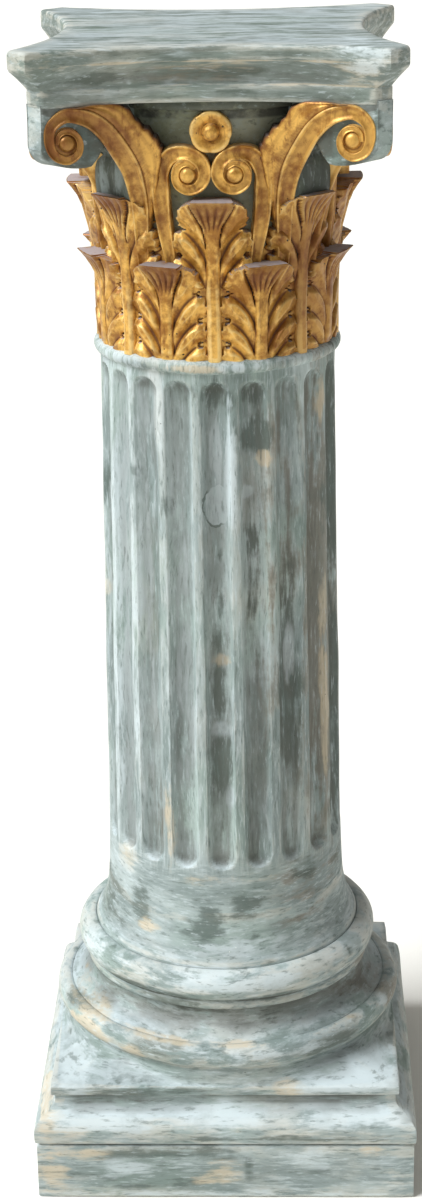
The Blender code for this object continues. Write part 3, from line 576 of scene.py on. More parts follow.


# The broad brown and thick marks on the right are partly painted shade, and the broad pale marks on the left are partly
# painted light.
SHAFT_MARKS = (
    ("bare_and_lit", -10.4, 0.778, 11.0, 0.0034, 1.0), ("pale", 12.0, 0.779, 10.0, 0.004, 0.7), ("thick", -38.0, 0.776, 14.0, 0.003, 0.6),
    ("bare_and_lit", -30.1, 0.742, 3.4, 0.027, 0.75), ("pale", -30.1, 0.742, 4.4, 0.030, 0.8), ("thick", -2.1, 0.751, 6.0, 0.014, 0.75),
    ("thick", 18.2, 0.7525, 6.6, 0.010, 0.65), ("thick", 18.3, 0.7155, 6.4, 0.0155, 1.0), ("thick", 6.9, 0.7476, 2.6, 0.010, 0.9),
    ("pale", 6.6, 0.688, 2.9, 0.048, 0.95), ("bare_and_lit", 22.6, 0.694, 3.6, 0.0055, 1.0), ("pale", 15.5, 0.666, 3.2, 0.0046, 0.9),
    ("pale", 0.5, 0.705, 3.1, 0.0275, 0.7), ("thick", -44.4, 0.679, 4.5, 0.0057, 0.8), ("thick", -77.0, 0.6525, 5.0, 0.021, 0.9),
    ("thick", -72.3, 0.607, 5.0, 0.0245, 0.7), ("thick", -25.5, 0.651, 3.5, 0.0094, 0.6), ("bare_and_lit", 61.5, 0.735, 3.0, 0.020, 0.9),
    ("thick", 75.0, 0.665, 11.0, 0.115, 1.0), ("thick", 17.1, 0.619, 4.8, 0.016, 0.7), ("thick", 0.9, 0.609, 1.8, 0.005, 0.75),
    ("thick", 0.9, 0.559, 2.7, 0.016, 0.95), ("thick", -0.2, 0.531, 4.5, 0.011, 0.65), ("bare_and_lit", 2.1, 0.510, 4.4, 0.0045, 0.8),
    ("thick", -0.3, 0.479, 4.0, 0.027, 0.75), ("pale", 0.5, 0.4445, 4.6, 0.007, 0.8), ("thick", 0.2, 0.4116, 6.1, 0.0235, 1.0),
    ("pale", 5.0, 0.377, 2.0, 0.012, 0.8), ("thick", 36.4, 0.493, 5.6, 0.080, 0.95), ("pale", 37.7, 0.512, 3.2, 0.023, 1.0),
    ("bare_and_lit", 61.5, 0.469, 2.6, 0.086, 0.75), ("thick", -72.3, 0.546, 2.4, 0.028, 0.9), ("bare_and_lit", -80.0, 0.551, 3.5, 0.007, 0.8),
    ("bare_and_lit", -68.7, 0.5136, 2.6, 0.007, 0.9), ("bare_and_lit", -26.0, 0.3585, 2.2, 0.046, 0.75), ("thick", 18.1, 0.5565, 5.0, 0.046, 0.45),
    ("thick", -21.8, 0.4365, 5.0, 0.034, 0.5), ("thick", 75.0, 0.42, 11.0, 0.12, 0.9), ("brown", 66.0, 0.54, 20.0, 0.25, 0.85),
    ("brown", 33.0, 0.60, 14.0, 0.18, 0.45), ("brown", -31.0, 0.35, 6.0, 0.05, 0.4), ("pale", -58.0, 0.58, 20.0, 0.26, 0.62), ("pale", -20.0, 0.52, 12.0, 0.16, 0.36),
    ("thick", 44.3, 0.293, 7.6, 0.013, 0.7), ("thick", 11.9, 0.272, 8.0, 0.016, 0.75), ("thick", -44.5, 0.260, 7.0, 0.020, 0.75),
    ("thick", -9.4, 0.252, 8.5, 0.019, 1.0), ("thick", -68.8, 0.252, 16.0, 0.027, 0.55), ("brown", 42.0, 0.272, 14.0, 0.030, 0.6),
    ("bare_and_lit", 0.0, 0.296, 24.0, 0.006, 0.45), ("bare_and_lit", -55.0, 0.300, 8.0, 0.012, 0.6),
)
shaft_paint = washed_plaster("shaft wash", (105, 105, 12), BASE_GRAIN, Edge_wear=0.15,
                             Thin_wash=(0.40, 0.465, 0.46, 1.0))

# old repair: a smooth filled place in the front flute, pear-shaped, with a dark line round its lower left
REPAIR_MIDDLE = (0.0010, -0.1060, 0.6540)
REPAIR_ACROSS = 0.0125
REPAIR_UP = 0.0200
tree = shaft_paint.node_tree
place = tree.nodes["Texture Coordinate"].outputs["Object"]
off = node(tree, "ShaderNodeVectorMath", {"operation": "SUBTRACT"}, i0=place, i1=REPAIR_MIDDLE).outputs[0]
off = node(tree, "ShaderNodeVectorMath", {"operation": "MULTIPLY"}, i0=off,
           i1=(1 / REPAIR_ACROSS, 30.0, 1 / REPAIR_UP)).outputs[0]
far = node(tree, "ShaderNodeVectorMath", {"operation": "LENGTH"}, i0=off).outputs[1]
far = reckon(tree, "MULTIPLY_ADD", reckon(tree, "SUBTRACT", haze(tree, place, 70.0, 3.0), 0.5), 0.6, far)
low_left = node(tree, "ShaderNodeVectorMath", {"operation": "DOT_PRODUCT"}, i0=off, i1=(-0.8, 0.0, -0.6)).outputs[1]
rim_line = reckon(tree, "MULTIPLY", ramp(tree, reckon(tree, "ABSOLUTE", reckon(tree, "SUBTRACT", far, 1.0)), 0.10, 0.03),
                  ramp(tree, low_left, -0.1, 0.5))
filled = ramp(tree, far, 1.02, 0.88)
for coat in [one for one in tree.nodes if one.type == "GROUP"]:
    for layer, extra, amount in (("Thick", rim_line, 0.75), ("Pale", filled, 0.55)):
        noted = coat.inputs[layer].links[0].from_socket
        pull(tree, reckon(tree, "MAXIMUM", noted, reckon(tree, "MULTIPLY", extra, amount)), coat.inputs[layer])
shape = bmesh.new()
drawn_up(shape, SHAFT_SIDES, len(SHAFT_LEVELS), shaft_place)
uneven(shape, 20.0, 0.0005)
cast_piece("fluted_shaft", shape, shaft_paint, 6, SHAFT_MARKS)

# Bell
# The plain core of the capital that the leaves and stalks stand on, painted dark green, with a round lip
# under the abacus, darkened there with painted shade.
BELL_SIDES = 96
BELL_LEVELS = [(0.0900, 0.7790), (0.0985, 0.7800), (0.0985, 0.8200), (0.0985, 0.8600), (0.0988, 0.8800), (0.0992, 0.9000),
               (0.0997, 0.9150), (0.1003, 0.9300), (0.1012, 0.9450), (0.1024, 0.9600), (0.1038, 0.9740), (0.1055, 0.9860),
               (0.1062, 0.9930), (0.1085, 0.9955), (0.1145, 0.9962), (0.1172, 0.9972), (0.1180, 0.9990), (0.1180, 1.0015),
               (0.1174, 1.0030), (0.1168, 1.0060), (0.1000, 1.0070)]


def bell_place(i, j):
    turn = 2 * math.pi * i / BELL_SIDES
    radius, z = BELL_LEVELS[j]
    return Vector((radius * math.cos(turn), radius * math.sin(turn), z))


bell_paint = washed_plaster(
    "bell green", (40, 40, 50), Edge_wear=0.2, Wash=(0.17, 0.175, 0.120, 1.0), Thin_wash=(0.29, 0.300, 0.22, 1.0),
    Thick_wash=(0.045, 0.052, 0.038, 1.0), Cream=(0.20, 0.22, 0.18, 1.0), Beige=(0.25, 0.22, 0.14, 1.0),
    Stroke=(0.24, 0.29, 0.27, 1.0), Dirt=(0.020, 0.020, 0.016, 1.0))
shape = bmesh.new()
drawn_up(shape, BELL_SIDES, len(BELL_LEVELS), bell_place)
uneven(shape, 30.0, 0.0006)
# painted shade: a dark band round the bell's lip, under the abacus
BELL_SHADE_MARKS = tuple(("thick", 90.0 * k, 1.0000, 70.0, 0.0055, 0.9) for k in range(-1, 3))
cast_piece("bell", shape, bell_paint, 6, BELL_SHADE_MARKS)

# Acanthus leaves
# Two rings of eight gilded leaves. Each has a round stem that opens into a fluted trumpet with a flat lip,
# and on each side four swelling lobes with toothed ends, with a drilled eye between one lobe and the next.
LEAVES = 8
LEAF_FOOT_Z = 0.7845
UPPER_LIFT = 0.0555
MM = 0.001
# half the width of the stem at each height (mm)
STEM_RISE = (-60.0, 30.0, 50.0, 60.7, 69.5, 76.0, 82.5)
STEM_HALF = (5.9, 5.6, 6.1, 8.2, 13.0, 16.8, 19.4)
# the creases between lobes: where each starts beside the stem, and the eye where it ends (mm)
CREASES = ((13.0, -30.0, 35.0, -8.0), (10.0, -10.0, 34.0, 13.1), (7.0, 6.0, 34.0, 34.1), (5.0, 26.0, 33.0, 56.8))
EYE_SIDE = 29.5
EYE_SIZE = 3.2
EYES = (13.1, 34.1, 56.8)
LOBE_FLOOR = 5.2
STEM_HEIGHT = 5.6


def eased(value, low, high):
    t = np.clip((value - low) / (high - low), 0.0, 1.0)
    return t * t * (3 - 2 * t)


def crease_line(s, line):
    """How high a crease lies at the distance s from the midrib."""
    start, foot, end, top = line
    return foot + (top - foot) * np.sin(math.pi / 2 * np.clip((s - start) / (end - start), 0.0, 1.0)) ** 0.72


def leaf_edge(t):
    """Half the leaf's width at height t: lobes with three teeth each, cut in at the eyes."""
    stops = np.array([-12.0, 13.1, 34.1, 56.8, 78.5])
    lobe = np.clip(np.searchsorted(stops, t, side="right") - 1, 0, 3)
    share = np.clip((t - stops[lobe]) / (stops[lobe + 1] - stops[lobe]), 0.0, 1.0)
    tooth = (share * 3 + 0.12 * lobe) % 1.0
    swell = 32.0 + 2.4 * np.sin(math.pi * np.clip(share * 1.1, 0, 1)) - 3.6 * (lobe == 3)
    edge = swell + 3.2 * (tooth ** 1.4) * (1 - tooth ** 9)
    for eye in EYES:
        edge -= 5.5 * np.exp(-((t - eye) / 1.6) ** 2)
    return edge - 11.0 * np.clip((t - 77.0) / 5.3, 0.0, 1.0) ** 1.2


def leaf_relief(s, t, body, flare):
    """Radius in mm of a leaf's face at s mm from its midrib and t mm up, a mask of where the leaf is, and a share of
    painted shade inside the trumpet.
    """
    stem = np.interp(t, STEM_RISE, STEM_HALF)
    ridge = body + (flare - body) * (1 - 0.60 * eased(s, stem * 0.92, stem + 7.0))
    along = np.clip((s - stem) / (31.0 - stem), 0.0, 1.0)
    swell = 2.6 + 3.7 * eased(along, -0.05, 0.45) - 2.6 * eased(along, 0.68, 1.05)
    tops = [crease_line(s, line) for line in CREASES]
    tops.append(np.maximum(np.interp(s, STEM_HALF[1:] + (24.0, 40.0), STEM_RISE[1:] + (88.0, 96.0)), tops[-1] + 5.0))
    height = np.zeros_like(s)
    for number, (low, high) in enumerate(zip(tops, tops[1:])):
        share = np.clip((t - low) / (high - low), 0.0, 1.0)
        lobe_swell = swell * (1.2 if number == 3 else 1.0)
        veins = 0.16 * (0.5 - 0.5 * np.cos(6 * math.pi * share)) * eased(along, 0.55, 1.0)
        height = np.maximum(height, lobe_swell * (np.sin(math.pi * share ** 1.5) - veins * (share < 0.99)))
    height = np.where(t < tops[0], 3.0, height)
    ray = np.clip(s / stem, 0.0, 1.0)
    rod = 1.6 + (STEM_HEIGHT - 1.6) * np.sqrt(np.maximum(1 - ray ** 2.1, 0.0))
    rib_depth = 2.3 - 1.4 * eased(t, 72.0, 82.0)
    ribs = STEM_HEIGHT - rib_depth * (0.5 - 0.5 * np.cos(2 * math.pi * np.clip(ray, 0.0, 0.86) / 0.43))
    trumpet = rod + (ribs * (1 - 0.25 * eased(ray, 0.88, 1.0)) - rod) * eased(t, 50.0, 68.0)
    height = np.where(s < stem, np.maximum(trumpet, np.minimum(height, STEM_HEIGHT - 2.0) * ray ** 6), height)
    depth = LOBE_FLOOR - height
    depth += 1.3 * eased(s, 27.0, 35.0)
    edge = leaf_edge(t)
    for eye in EYES:
        hole = np.hypot(s - EYE_SIDE, t - eye)
        depth = np.maximum(depth, 9.0 * (1 - eased(hole, EYE_SIZE - 1.0, EYE_SIZE + 0.5)))
        depth = np.maximum(depth, 7.5 * (1 - eased(np.abs(t - eye), 0.5, 1.5)) * eased(s, EYE_SIDE - 1.0, EYE_SIDE + 1.0))
    mask = eased(edge - s, -0.7, 0.9)
    return ridge - depth, mask, eased(1.10 - s / stem, 0.0, 0.20) * eased(t, 54.0, 72.0)


def leaf_ring(name, lift, low, body_line, flare_line, paint, half_offset, columns, rows):
    """One ring of leaves: a sector is shaped as a grid, then spun round the bell."""
    sector = 2 * math.pi / LEAVES
    bare_rows = np.linspace(low, 8.0, 16)[:-1] if lift else np.array([low, 0.5])
    t = np.concatenate([bare_rows, np.linspace(8.0 if lift else 2.0, 82.3, rows), [82.9, 83.1, 83.2]])
    u = np.linspace(-1.0, 1.0, columns)
    around, up = np.meshgrid(u * sector / 2, t, indexing="ij")
    body = np.interp(up, *body_line)
    flare = np.interp(up, *flare_line)
    s = np.abs(around) * 108.0 * flare / 112.0
    face, mask, trumpet_shade = leaf_relief(s, np.minimum(up, 82.3), body, flare)
    core = 99.8 - 3.3 * eased(up, 36.0, 42.0) if lift else 102.2
    if lift:
        mask = np.where(up < 8.0, eased(s, 7.0, 5.7), mask)
    else:
        foot = 1 - eased(up, 1.0, 7.0)
        mask = np.maximum(mask, foot)
        face -= foot * np.maximum(face - 105.0, 0.0) * 0.6
    radius = core + (face - core) * mask
    radius[:, -3] -= 0.8
    radius[:, -2] = np.minimum(radius[:, -2], 103.0)
    radius[:, -1] = 92.0
    shape = bmesh.new()
    made = bmesh.ops.create_grid(shape, x_segments=columns - 1, y_segments=len(t) - 1, size=1.0)["verts"]
    step_x, step_y = 2.0 / (columns - 1), 2.0 / (len(t) - 1)
    for vert in made:
        i = round((vert.co.x + 1) / step_x)
        j = round((vert.co.y + 1) / step_y)
        turn = around[i, j] - math.pi / 2 + half_offset * sector
        r = radius[i, j] * MM
        z = LEAF_FOOT_Z + (t[j] + lift) * MM
        vert.co = Vector((r * math.cos(turn), r * math.sin(turn), z))
    bmesh.ops.spin(shape, geom=shape.faces[:] + shape.edges[:] + shape.verts[:], cent=(0, 0, 0), axis=(0, 0, 1),
                   dvec=(0, 0, 0), angle=sector * (LEAVES - 1), steps=LEAVES - 1, use_duplicate=True)
    bmesh.ops.remove_doubles(shape, verts=shape.verts, dist=0.00002)
    bmesh.ops.holes_fill(shape, edges=[e for e in shape.edges if e.is_boundary], sides=0)
    bmesh.ops.recalc_face_normals(shape, faces=shape.faces)
    uneven(shape, 34.0, 0.0007)
    piece = cast_piece(name, shape, paint, 14, GOLD_MARKS)
    x, y, z = points_of(piece.data).T
    turn = (np.arctan2(x, -y) / sector - half_offset + 0.5) % 1.0 - 0.5
    row = np.clip(np.searchsorted(t, (z - LEAF_FOOT_Z) / MM - lift), 0, len(t) - 1)
    column = np.clip(np.round((turn + 0.5) * (columns - 1)).astype(int), 0, columns - 1)
    # painted shade: the hollow inside each trumpet is added to the brown layer and darkened
    brown_values = np.empty(len(x), dtype=np.float32)
    piece.data.attributes["brown"].data.foreach_get("value", brown_values)
    piece.data.attributes["brown"].data.foreach_set("value", np.maximum(brown_values, 0.95 * trumpet_shade[column, row]).astype(np.float32))
    return piece


GOLD_BRIGHT = (0.80, 0.46, 0.10, 1.0)
GOLD_DEEP = (0.36, 0.155, 0.020, 1.0)
GOLD_RUST = (0.150, 0.042, 0.007, 1.0)
GOLD_DIRT_AND_SHADE = (0.022, 0.010, 0.005, 1.0)
GOLD_HIGHLIGHT = (0.90, 0.66, 0.27, 1.0)
LIP_DUST = (0.34, 0.29, 0.29, 1.0)

# gilded coat: gold paint over a rust-brown ground, with painted highlights on crests, brown in grooves and dirt with
# painted shade deep in them, dusty on ledges
tree, given, out = effect("gilded coat",
                          [("Place", "NodeSocketVector", (0, 0, 0)), ("Hollow", "NodeSocketFloat", 0.0),
                           ("Brown", "NodeSocketFloat", 0.0), ("Up", "NodeSocketFloat", 0.0),
                           ("Rust", "NodeSocketFloat", 0.5), ("Dusty", "NodeSocketFloat", 1.0)],
                          [("Colour", "NodeSocketColor"), ("Metal", "NodeSocketFloat"),
                           ("Roughness", "NodeSocketFloat"), ("Height", "NodeSocketFloat")])
place, hollow = given.outputs["Place"], given.outputs["Hollow"]
drift = haze(tree, place, 30.0, 5.0, 0.62, (1.0, 2.0, 3.0))
streak = node(tree, "ShaderNodeGroup", {"node_tree": brush_strokes}, Place=place, Grain=(170, 170, 45)).outputs[0]
mottle = reckon(tree, "MULTIPLY_ADD", reckon(tree, "SUBTRACT", haze(tree, place, 130.0, 4.0, 0.6), 0.5), 0.7, drift)
colour = blend_colour(tree, ramp(tree, mottle, 0.36, 0.66), GOLD_BRIGHT, GOLD_DEEP)
stain = reckon(tree, "MULTIPLY_ADD", haze(tree, place, 48.0, 5.0, 0.65, (6.0, 1.0, 2.0)), 1.0,
               reckon(tree, "MULTIPLY", given.outputs["Brown"], 0.22))
stain = reckon(tree, "MULTIPLY", ramp(tree, stain, 0.50, 0.70), given.outputs["Rust"])
colour = blend_colour(tree, reckon(tree, "MAXIMUM", stain, reckon(tree, "MULTIPLY", given.outputs["Brown"], 0.75)),
                      colour, GOLD_RUST)
colour = blend_colour(tree, reckon(tree, "MULTIPLY", ramp(tree, streak, 0.52, 0.68), 0.65), colour, GOLD_RUST)
colour = blend_colour(tree, reckon(tree, "MULTIPLY", ramp(tree, hollow, 0.0, 0.55), 0.85), colour, GOLD_RUST)
# dirt and painted shade deep in the grooves
colour = blend_colour(tree, reckon(tree, "MULTIPLY", ramp(tree, hollow, 0.45, 1.25), 0.92), colour, GOLD_DIRT_AND_SHADE)
# painted highlights on the crests
lit_edge = reckon(tree, "MULTIPLY", ramp(tree, hollow, -0.15, -0.55), ramp(tree, drift, 0.62, 0.42))
lit_edge = reckon(tree, "MULTIPLY", lit_edge, reckon(tree, "MULTIPLY_ADD", given.outputs["Brown"], -0.5, 0.60))
colour = blend_colour(tree, lit_edge, colour, GOLD_HIGHLIGHT)
ledge = reckon(tree, "MULTIPLY", ramp(tree, given.outputs["Up"], 0.82, 0.96),
               ramp(tree, haze(tree, place, 60.0, shift=(3.0, 3.0, 3.0)), 0.25, 0.45))
ledge = reckon(tree, "MULTIPLY", ledge, given.outputs["Dusty"])
colour = blend_colour(tree, ledge, colour, LIP_DUST)
holes = node(tree, "ShaderNodeGroup", {"node_tree": pinholes}, Place=place, Spacing=190.0, Size=0.24,
             Share=0.7).outputs[0]
colour = blend_colour(tree, reckon(tree, "MULTIPLY", holes, 0.92), colour, (0.015, 0.009, 0.005, 1.0))
pull(tree, colour, out.inputs["Colour"])
gold_shows = reckon(tree, "SUBTRACT", 1.0, reckon(tree, "MAXIMUM", ledge, ramp(tree, hollow, 0.1, 0.9)))
pull(tree, reckon(tree, "MULTIPLY", gold_shows, 0.40), out.inputs["Metal"])
pull(tree, ramp(tree, reckon(tree, "MULTIPLY", gold_shows, reckon(tree, "SUBTRACT", 1.2, streak)), 0.0, 1.0, 0.78, 0.30),
     out.inputs["Roughness"])
grit = haze(tree, place, 300.0, 5.0)
height = reckon(tree, "ADD", reckon(tree, "MULTIPLY", grit, 0.4), reckon(tree, "MULTIPLY", streak, 0.7))
pull(tree, reckon(tree, "MULTIPLY_ADD", holes, -1.6, height), out.inputs["Height"])
gilded_coat = tree


def gilding(name, rust, dusty):
    """A material of the gilded coat, with more or less of its rust-brown ground and of dust on its ledges."""
    paint = bpy.data.materials.new(name)
    paint.use_nodes = True
    tree = paint.node_tree
    shader = tree.nodes["Principled BSDF"]
    coat = node(tree, "ShaderNodeGroup", {"node_tree": gilded_coat},
                Place=tree.nodes.new("ShaderNodeTexCoord").outputs["Object"], Up=facing_up(tree), Rust=rust,
                Dusty=dusty)
    for layer in ("hollow", "brown"):
        pull(tree, node(tree, "ShaderNodeAttribute", {"attribute_name": layer}).outputs["Fac"],
             coat.inputs[layer.capitalize()])
    pull(tree, coat.outputs["Colour"], shader.inputs["Base Color"])
    pull(tree, coat.outputs["Metal"], shader.inputs["Metallic"])
    pull(tree, coat.outputs["Roughness"], shader.inputs["Roughness"])
    bump = node(tree, "ShaderNodeBump", {}, Strength=0.40, Distance=0.0009, Height=coat.outputs["Height"])
    pull(tree, bump.outputs[0], shader.inputs["Normal"])
    return paint


# The broad brown marks on the right-hand leaves and stalks are partly painted shade.
GOLD_MARKS = (("brown", 68.0, 0.86, 26.0, 0.10, 0.9), ("brown", 46.0, 0.86, 16.0, 0.09, 1.0),
              ("brown", -84.0, 0.84, 14.0, 0.08, 0.6), ("brown", -40.0, 0.985, 13.0, 0.032, 1.0),
              ("brown", 62.0, 0.97, 8.0, 0.05, 0.9), ("brown", -44.0, 0.955, 9.0, 0.02, 0.5))
leaf_gold = gilding("leaf gold", 0.55, 1.0)
LOWER_BODY = ((-2.0, 60.0, 82.5), (108.0, 108.0, 110.0))
LOWER_FLARE = ((-2.0, 52.0, 60.0, 68.0, 75.0, 80.0, 82.5), (108.0, 108.3, 109.6, 112.6, 117.0, 121.2, 123.7))
UPPER_BODY = ((-56.0, 0.0, 25.0, 40.0, 60.0, 82.5), (107.0, 107.5, 108.5, 109.5, 112.0, 114.0))
UPPER_FLARE = ((-56.0, 0.0, 25.0, 40.0, 60.0, 70.0, 77.0, 82.5), (107.5, 108.0, 109.2, 111.7, 116.5, 120.4, 124.8, 129.0))
leaf_ring("lower_leaves", 0.0, -1.5, LOWER_BODY, LOWER_FLARE, leaf_gold, 0.5, 107, 100)
leaf_ring("upper_leaves", UPPER_LIFT * 1000, -56.5, UPPER_BODY, UPPER_FLARE, leaf_gold, 0.0, 101, 98)

# Abacus
# The concave-sided slab on the capital: a fillet, a hollow and a band, between four cut-off horns. Brushed
# along its sides with the same wash, and rubbed to cream on the right front horn.
ABACUS_SIDE_STEPS = 44
# height, how far in at the middle of a side, how far in at a horn, and how much lower it runs at the horns
ABACUS_LEVELS = [
    (1.0040, 0.0100, 0.0190, 0.0), (1.0040, 0.0084, 0.0174, 0.0), (1.0046, 0.0080, 0.0170, 0.0),
    (1.0080, 0.0080, 0.0170, 0.0), (1.0120, 0.0080, 0.0170, 0.0), (1.0155, 0.0080, 0.0170, 0.0005),
    (1.0172, 0.0081, 0.0171, 0.001), (1.0180, 0.0088, 0.0174, 0.001), (1.0186, 0.0095, 0.0173, 0.001),
    (1.0198, 0.0098, 0.0165, 0.0012), (1.0220, 0.0097, 0.0148, 0.0016), (1.0248, 0.0092, 0.0125, 0.0020),
    (1.0276, 0.0082, 0.0100, 0.0024), (1.0303, 0.0068, 0.0075, 0.0028), (1.0328, 0.0052, 0.0052, 0.0032),
    (1.0350, 0.0034, 0.0032, 0.0036), (1.0366, 0.0019, 0.0017, 0.0040), (1.0376, 0.0011, 0.0009, 0.0040),
    (1.0382, 0.0009, 0.0007, 0.0040), (1.0388, 0.0004, 0.0003, 0.0040), (1.0396, 0.0, 0.0, 0.0036),
    (1.0420, 0.0, 0.0, 0.0020), (1.0445, 0.0, 0.0, 0.0010), (1.0468, 0.0001, 0.0002, 0.0),
    (1.0484, 0.0007, 0.0010, 0.0), (1.0495, 0.0018, 0.0022, 0.0), (1.0500, 0.0034, 0.0040, 0.0),
    (1.0500, 0.0090, 0.0100, 0.0), (1.0500, 0.0300, 0.0400, 0.0), (1.0500, 0.0700, 0.0900, 0.0),
]
ABACUS_MIDDLE = 0.1283
ABACUS_DIAGONAL = 0.2165
HORN_WIDTH = 0.0231
HORN_FACE_STEPS = 6


def abacus_bend(middle, diagonal, width):
    """The circle that a concave side follows: half the side's length, and the circle's radius and centre."""
    far = (diagonal * math.sqrt(2) + width / math.sqrt(2)) / 2
    side = (diagonal * math.sqrt(2) - width / math.sqrt(2)) / 2
    sag = far - middle
    return side, (side * side + sag * sag) / (2 * sag)


def abacus_place(i, j):
    z, middle_in, horn_in, fall = ABACUS_LEVELS[j]
    quarter, part = divmod(i, ABACUS_SIDE_STEPS + HORN_FACE_STEPS)
    middle, diagonal = ABACUS_MIDDLE - middle_in, ABACUS_DIAGONAL - horn_in
    width = max(HORN_WIDTH - 0.24 * horn_in, 0.006)
    side, bend = abacus_bend(middle, diagonal, width)
    spread = min(max(2 * part / ABACUS_SIDE_STEPS - 1, -1.0), 1.0)
    spread = math.copysign(1 - (1 - abs(spread)) ** 1.25, spread)
    x = side * spread
    y = -(middle + bend) + math.sqrt(bend * bend - x * x)
    spot = Vector((x, y, 0))
    if part > ABACUS_SIDE_STEPS:
        share = (part - ABACUS_SIDE_STEPS) / HORN_FACE_STEPS
        spot = Vector((x, y, 0)).lerp(Vector((-y, -x, 0)), share)
    elif part in (0, ABACUS_SIDE_STEPS):
        spot *= 0.9965
    spot.z = z - fall * abs(spread) ** 5
    return Matrix.Rotation(quarter * math.pi / 2, 3, "Z") @ spot


# The two thin bare lines across the front, at the foot of the band and the top of the fillet, are painted highlights.
ABACUS_MARKS = (
    ("thick", -0.042, 1.0450, 0.070, 0.004, 0.65), ("thick", -0.093, 1.0247, 0.027, 0.0045, 0.75),
    ("thick", 0.018, 1.0281, 0.048, 0.005, 0.75), ("pale", -0.066, 1.0203, 0.0035, 0.0018, 1.0),
    ("thick", 0.018, 1.0111, 0.017, 0.002, 0.8), ("thick", 0.085, 1.007, 0.050, 0.005, 0.45),
    ("bare_and_lit", 0.125, 1.0330, 0.018, 0.009, 0.75), ("pale", 0.126, 1.0345, 0.014, 0.007, 0.9), ("pale", 0.122, 1.0460, 0.022, 0.005, 0.8),
    ("thick", 0.062, 1.0440, 0.040, 0.0035, 0.6), ("bare_and_lit", 0.0, 1.0376, 0.15, 0.0009, 0.7), ("bare_and_lit", 0.02, 1.0180, 0.12, 0.0008, 0.6),
    ("bare_and_lit", -0.125, 1.036, 0.013, 0.010, 0.4), ("thick", -0.130, 1.030, 0.010, 0.010, 0.5), ("bare_and_lit", 0.0, 1.0290, 0.05, 0.012, 0.35),
)
abacus_paint = washed_plaster("abacus wash", (9, 60, 100), Wash=(0.150, 0.185, 0.165, 1.0),
                              Thin_wash=(0.235, 0.275, 0.25, 1.0), Thick_wash=(0.085, 0.110, 0.088, 1.0), Edge_wear=0.55)
shape = bmesh.new()
drawn_up(shape, 4 * (ABACUS_SIDE_STEPS + HORN_FACE_STEPS), len(ABACUS_LEVELS), abacus_place)
uneven(shape, 22.0, 0.0007)
cast_piece("abacus", shape, abacus_paint, 6, ABACUS_MARKS, is_round=False)

# Horn blocks
# The thick tongue under each horn that the two scrolls of a corner lie on, rounded below with them.
BLOCK_TOP = 1.0065
BLOCK_FOOT = 0.9535
BLOCK_END = 0.2006
BLOCK_START = 0.080
BLOCK_STATIONS = 26
BLOCK_SECTION = [(1.0, 1.0), (1.0, 0.80), (1.0, 0.60), (1.0, 0.40), (1.0, 0.22), (1.0, 0.10), (0.97, 0.035),
                 (0.90, 0.005), (0.80, 0.0), (0.55, 0.0), (0.28, 0.0), (0.0, 0.0)]
BLOCK_SECTION += [(-side, up) for side, up in reversed(BLOCK_SECTION[:-1])]


def fillet_half_width(along):
    """Half the width of the abacus's lowest step, square to the diagonal, at a distance along it."""
    side, bend = abacus_bend(ABACUS_MIDDLE - 0.0080, ABACUS_DIAGONAL - 0.0170, 0.0190)
    low, high = 0.0, side
    for _ in range(40):
        x = (low + high) / 2
        y = -(ABACUS_MIDDLE - 0.0080 + bend) + math.sqrt(bend * bend - x * x)
        low, high = (x, high) if (x - y) / math.sqrt(2) < along else (low, x)
    return (-y - x) / math.sqrt(2)


def block_place(i, j):
    share = j / (BLOCK_STATIONS - 1)
    along = BLOCK_START + (BLOCK_END - BLOCK_START) * (1 - (1 - share) ** 1.7)
    half = min(fillet_half_width(along), 0.0285, 0.0285 - 0.55 * (0.128 - along)) - 0.0008
    ahead = min(max((along - 0.168) / (BLOCK_END - 0.168), 0.0), 0.985)
    behind = min(max((0.164 - along) / 0.028, 0.0), 1.0)
    foot = BLOCK_FOOT + 0.0206 * (1 - math.sqrt(1 - ahead * ahead)) + 0.030 * behind * behind * (3 - 2 * behind)
    across, up = BLOCK_SECTION[i]
    if j == BLOCK_STATIONS - 1:
        along -= 0.0012 * abs(across) ** 6
    spot = Vector((along, across * half, foot + (BLOCK_TOP - foot) * up))
    return Matrix.Rotation(-math.pi / 4, 3, "Z") @ spot


def all_round(shape):
    """Three more copies of a corner or a side, a quarter turn apart."""
    bmesh.ops.spin(shape, geom=shape.faces[:] + shape.edges[:] + shape.verts[:], cent=(0, 0, 0), axis=(0, 0, 1),
                   dvec=(0, 0, 0), angle=3 * math.pi / 2, steps=3, use_duplicate=True)
    bmesh.ops.recalc_face_normals(shape, faces=shape.faces)


HORN_MARKS = (("thick", -0.100, 0.976, 0.020, 0.024, 1.0), ("thick", 0.100, 0.976, 0.020, 0.024, 1.0),
              ("thick", -0.132, 0.974, 0.004, 0.024, 0.8), ("thick", 0.134, 0.985, 0.003, 0.014, 0.6),
              ("thick", -0.115, 0.957, 0.025, 0.006, 0.7))
horn_paint = washed_plaster("horn wash", (34, 34, 60), Edge_wear=0.3)
shape = bmesh.new()
drawn_up(shape, len(BLOCK_SECTION), BLOCK_STATIONS, block_place)
all_round(shape)
uneven(shape, 28.0, 0.0006)
cast_piece("horn_blocks", shape, horn_paint, 6, HORN_MARKS, is_round=False)

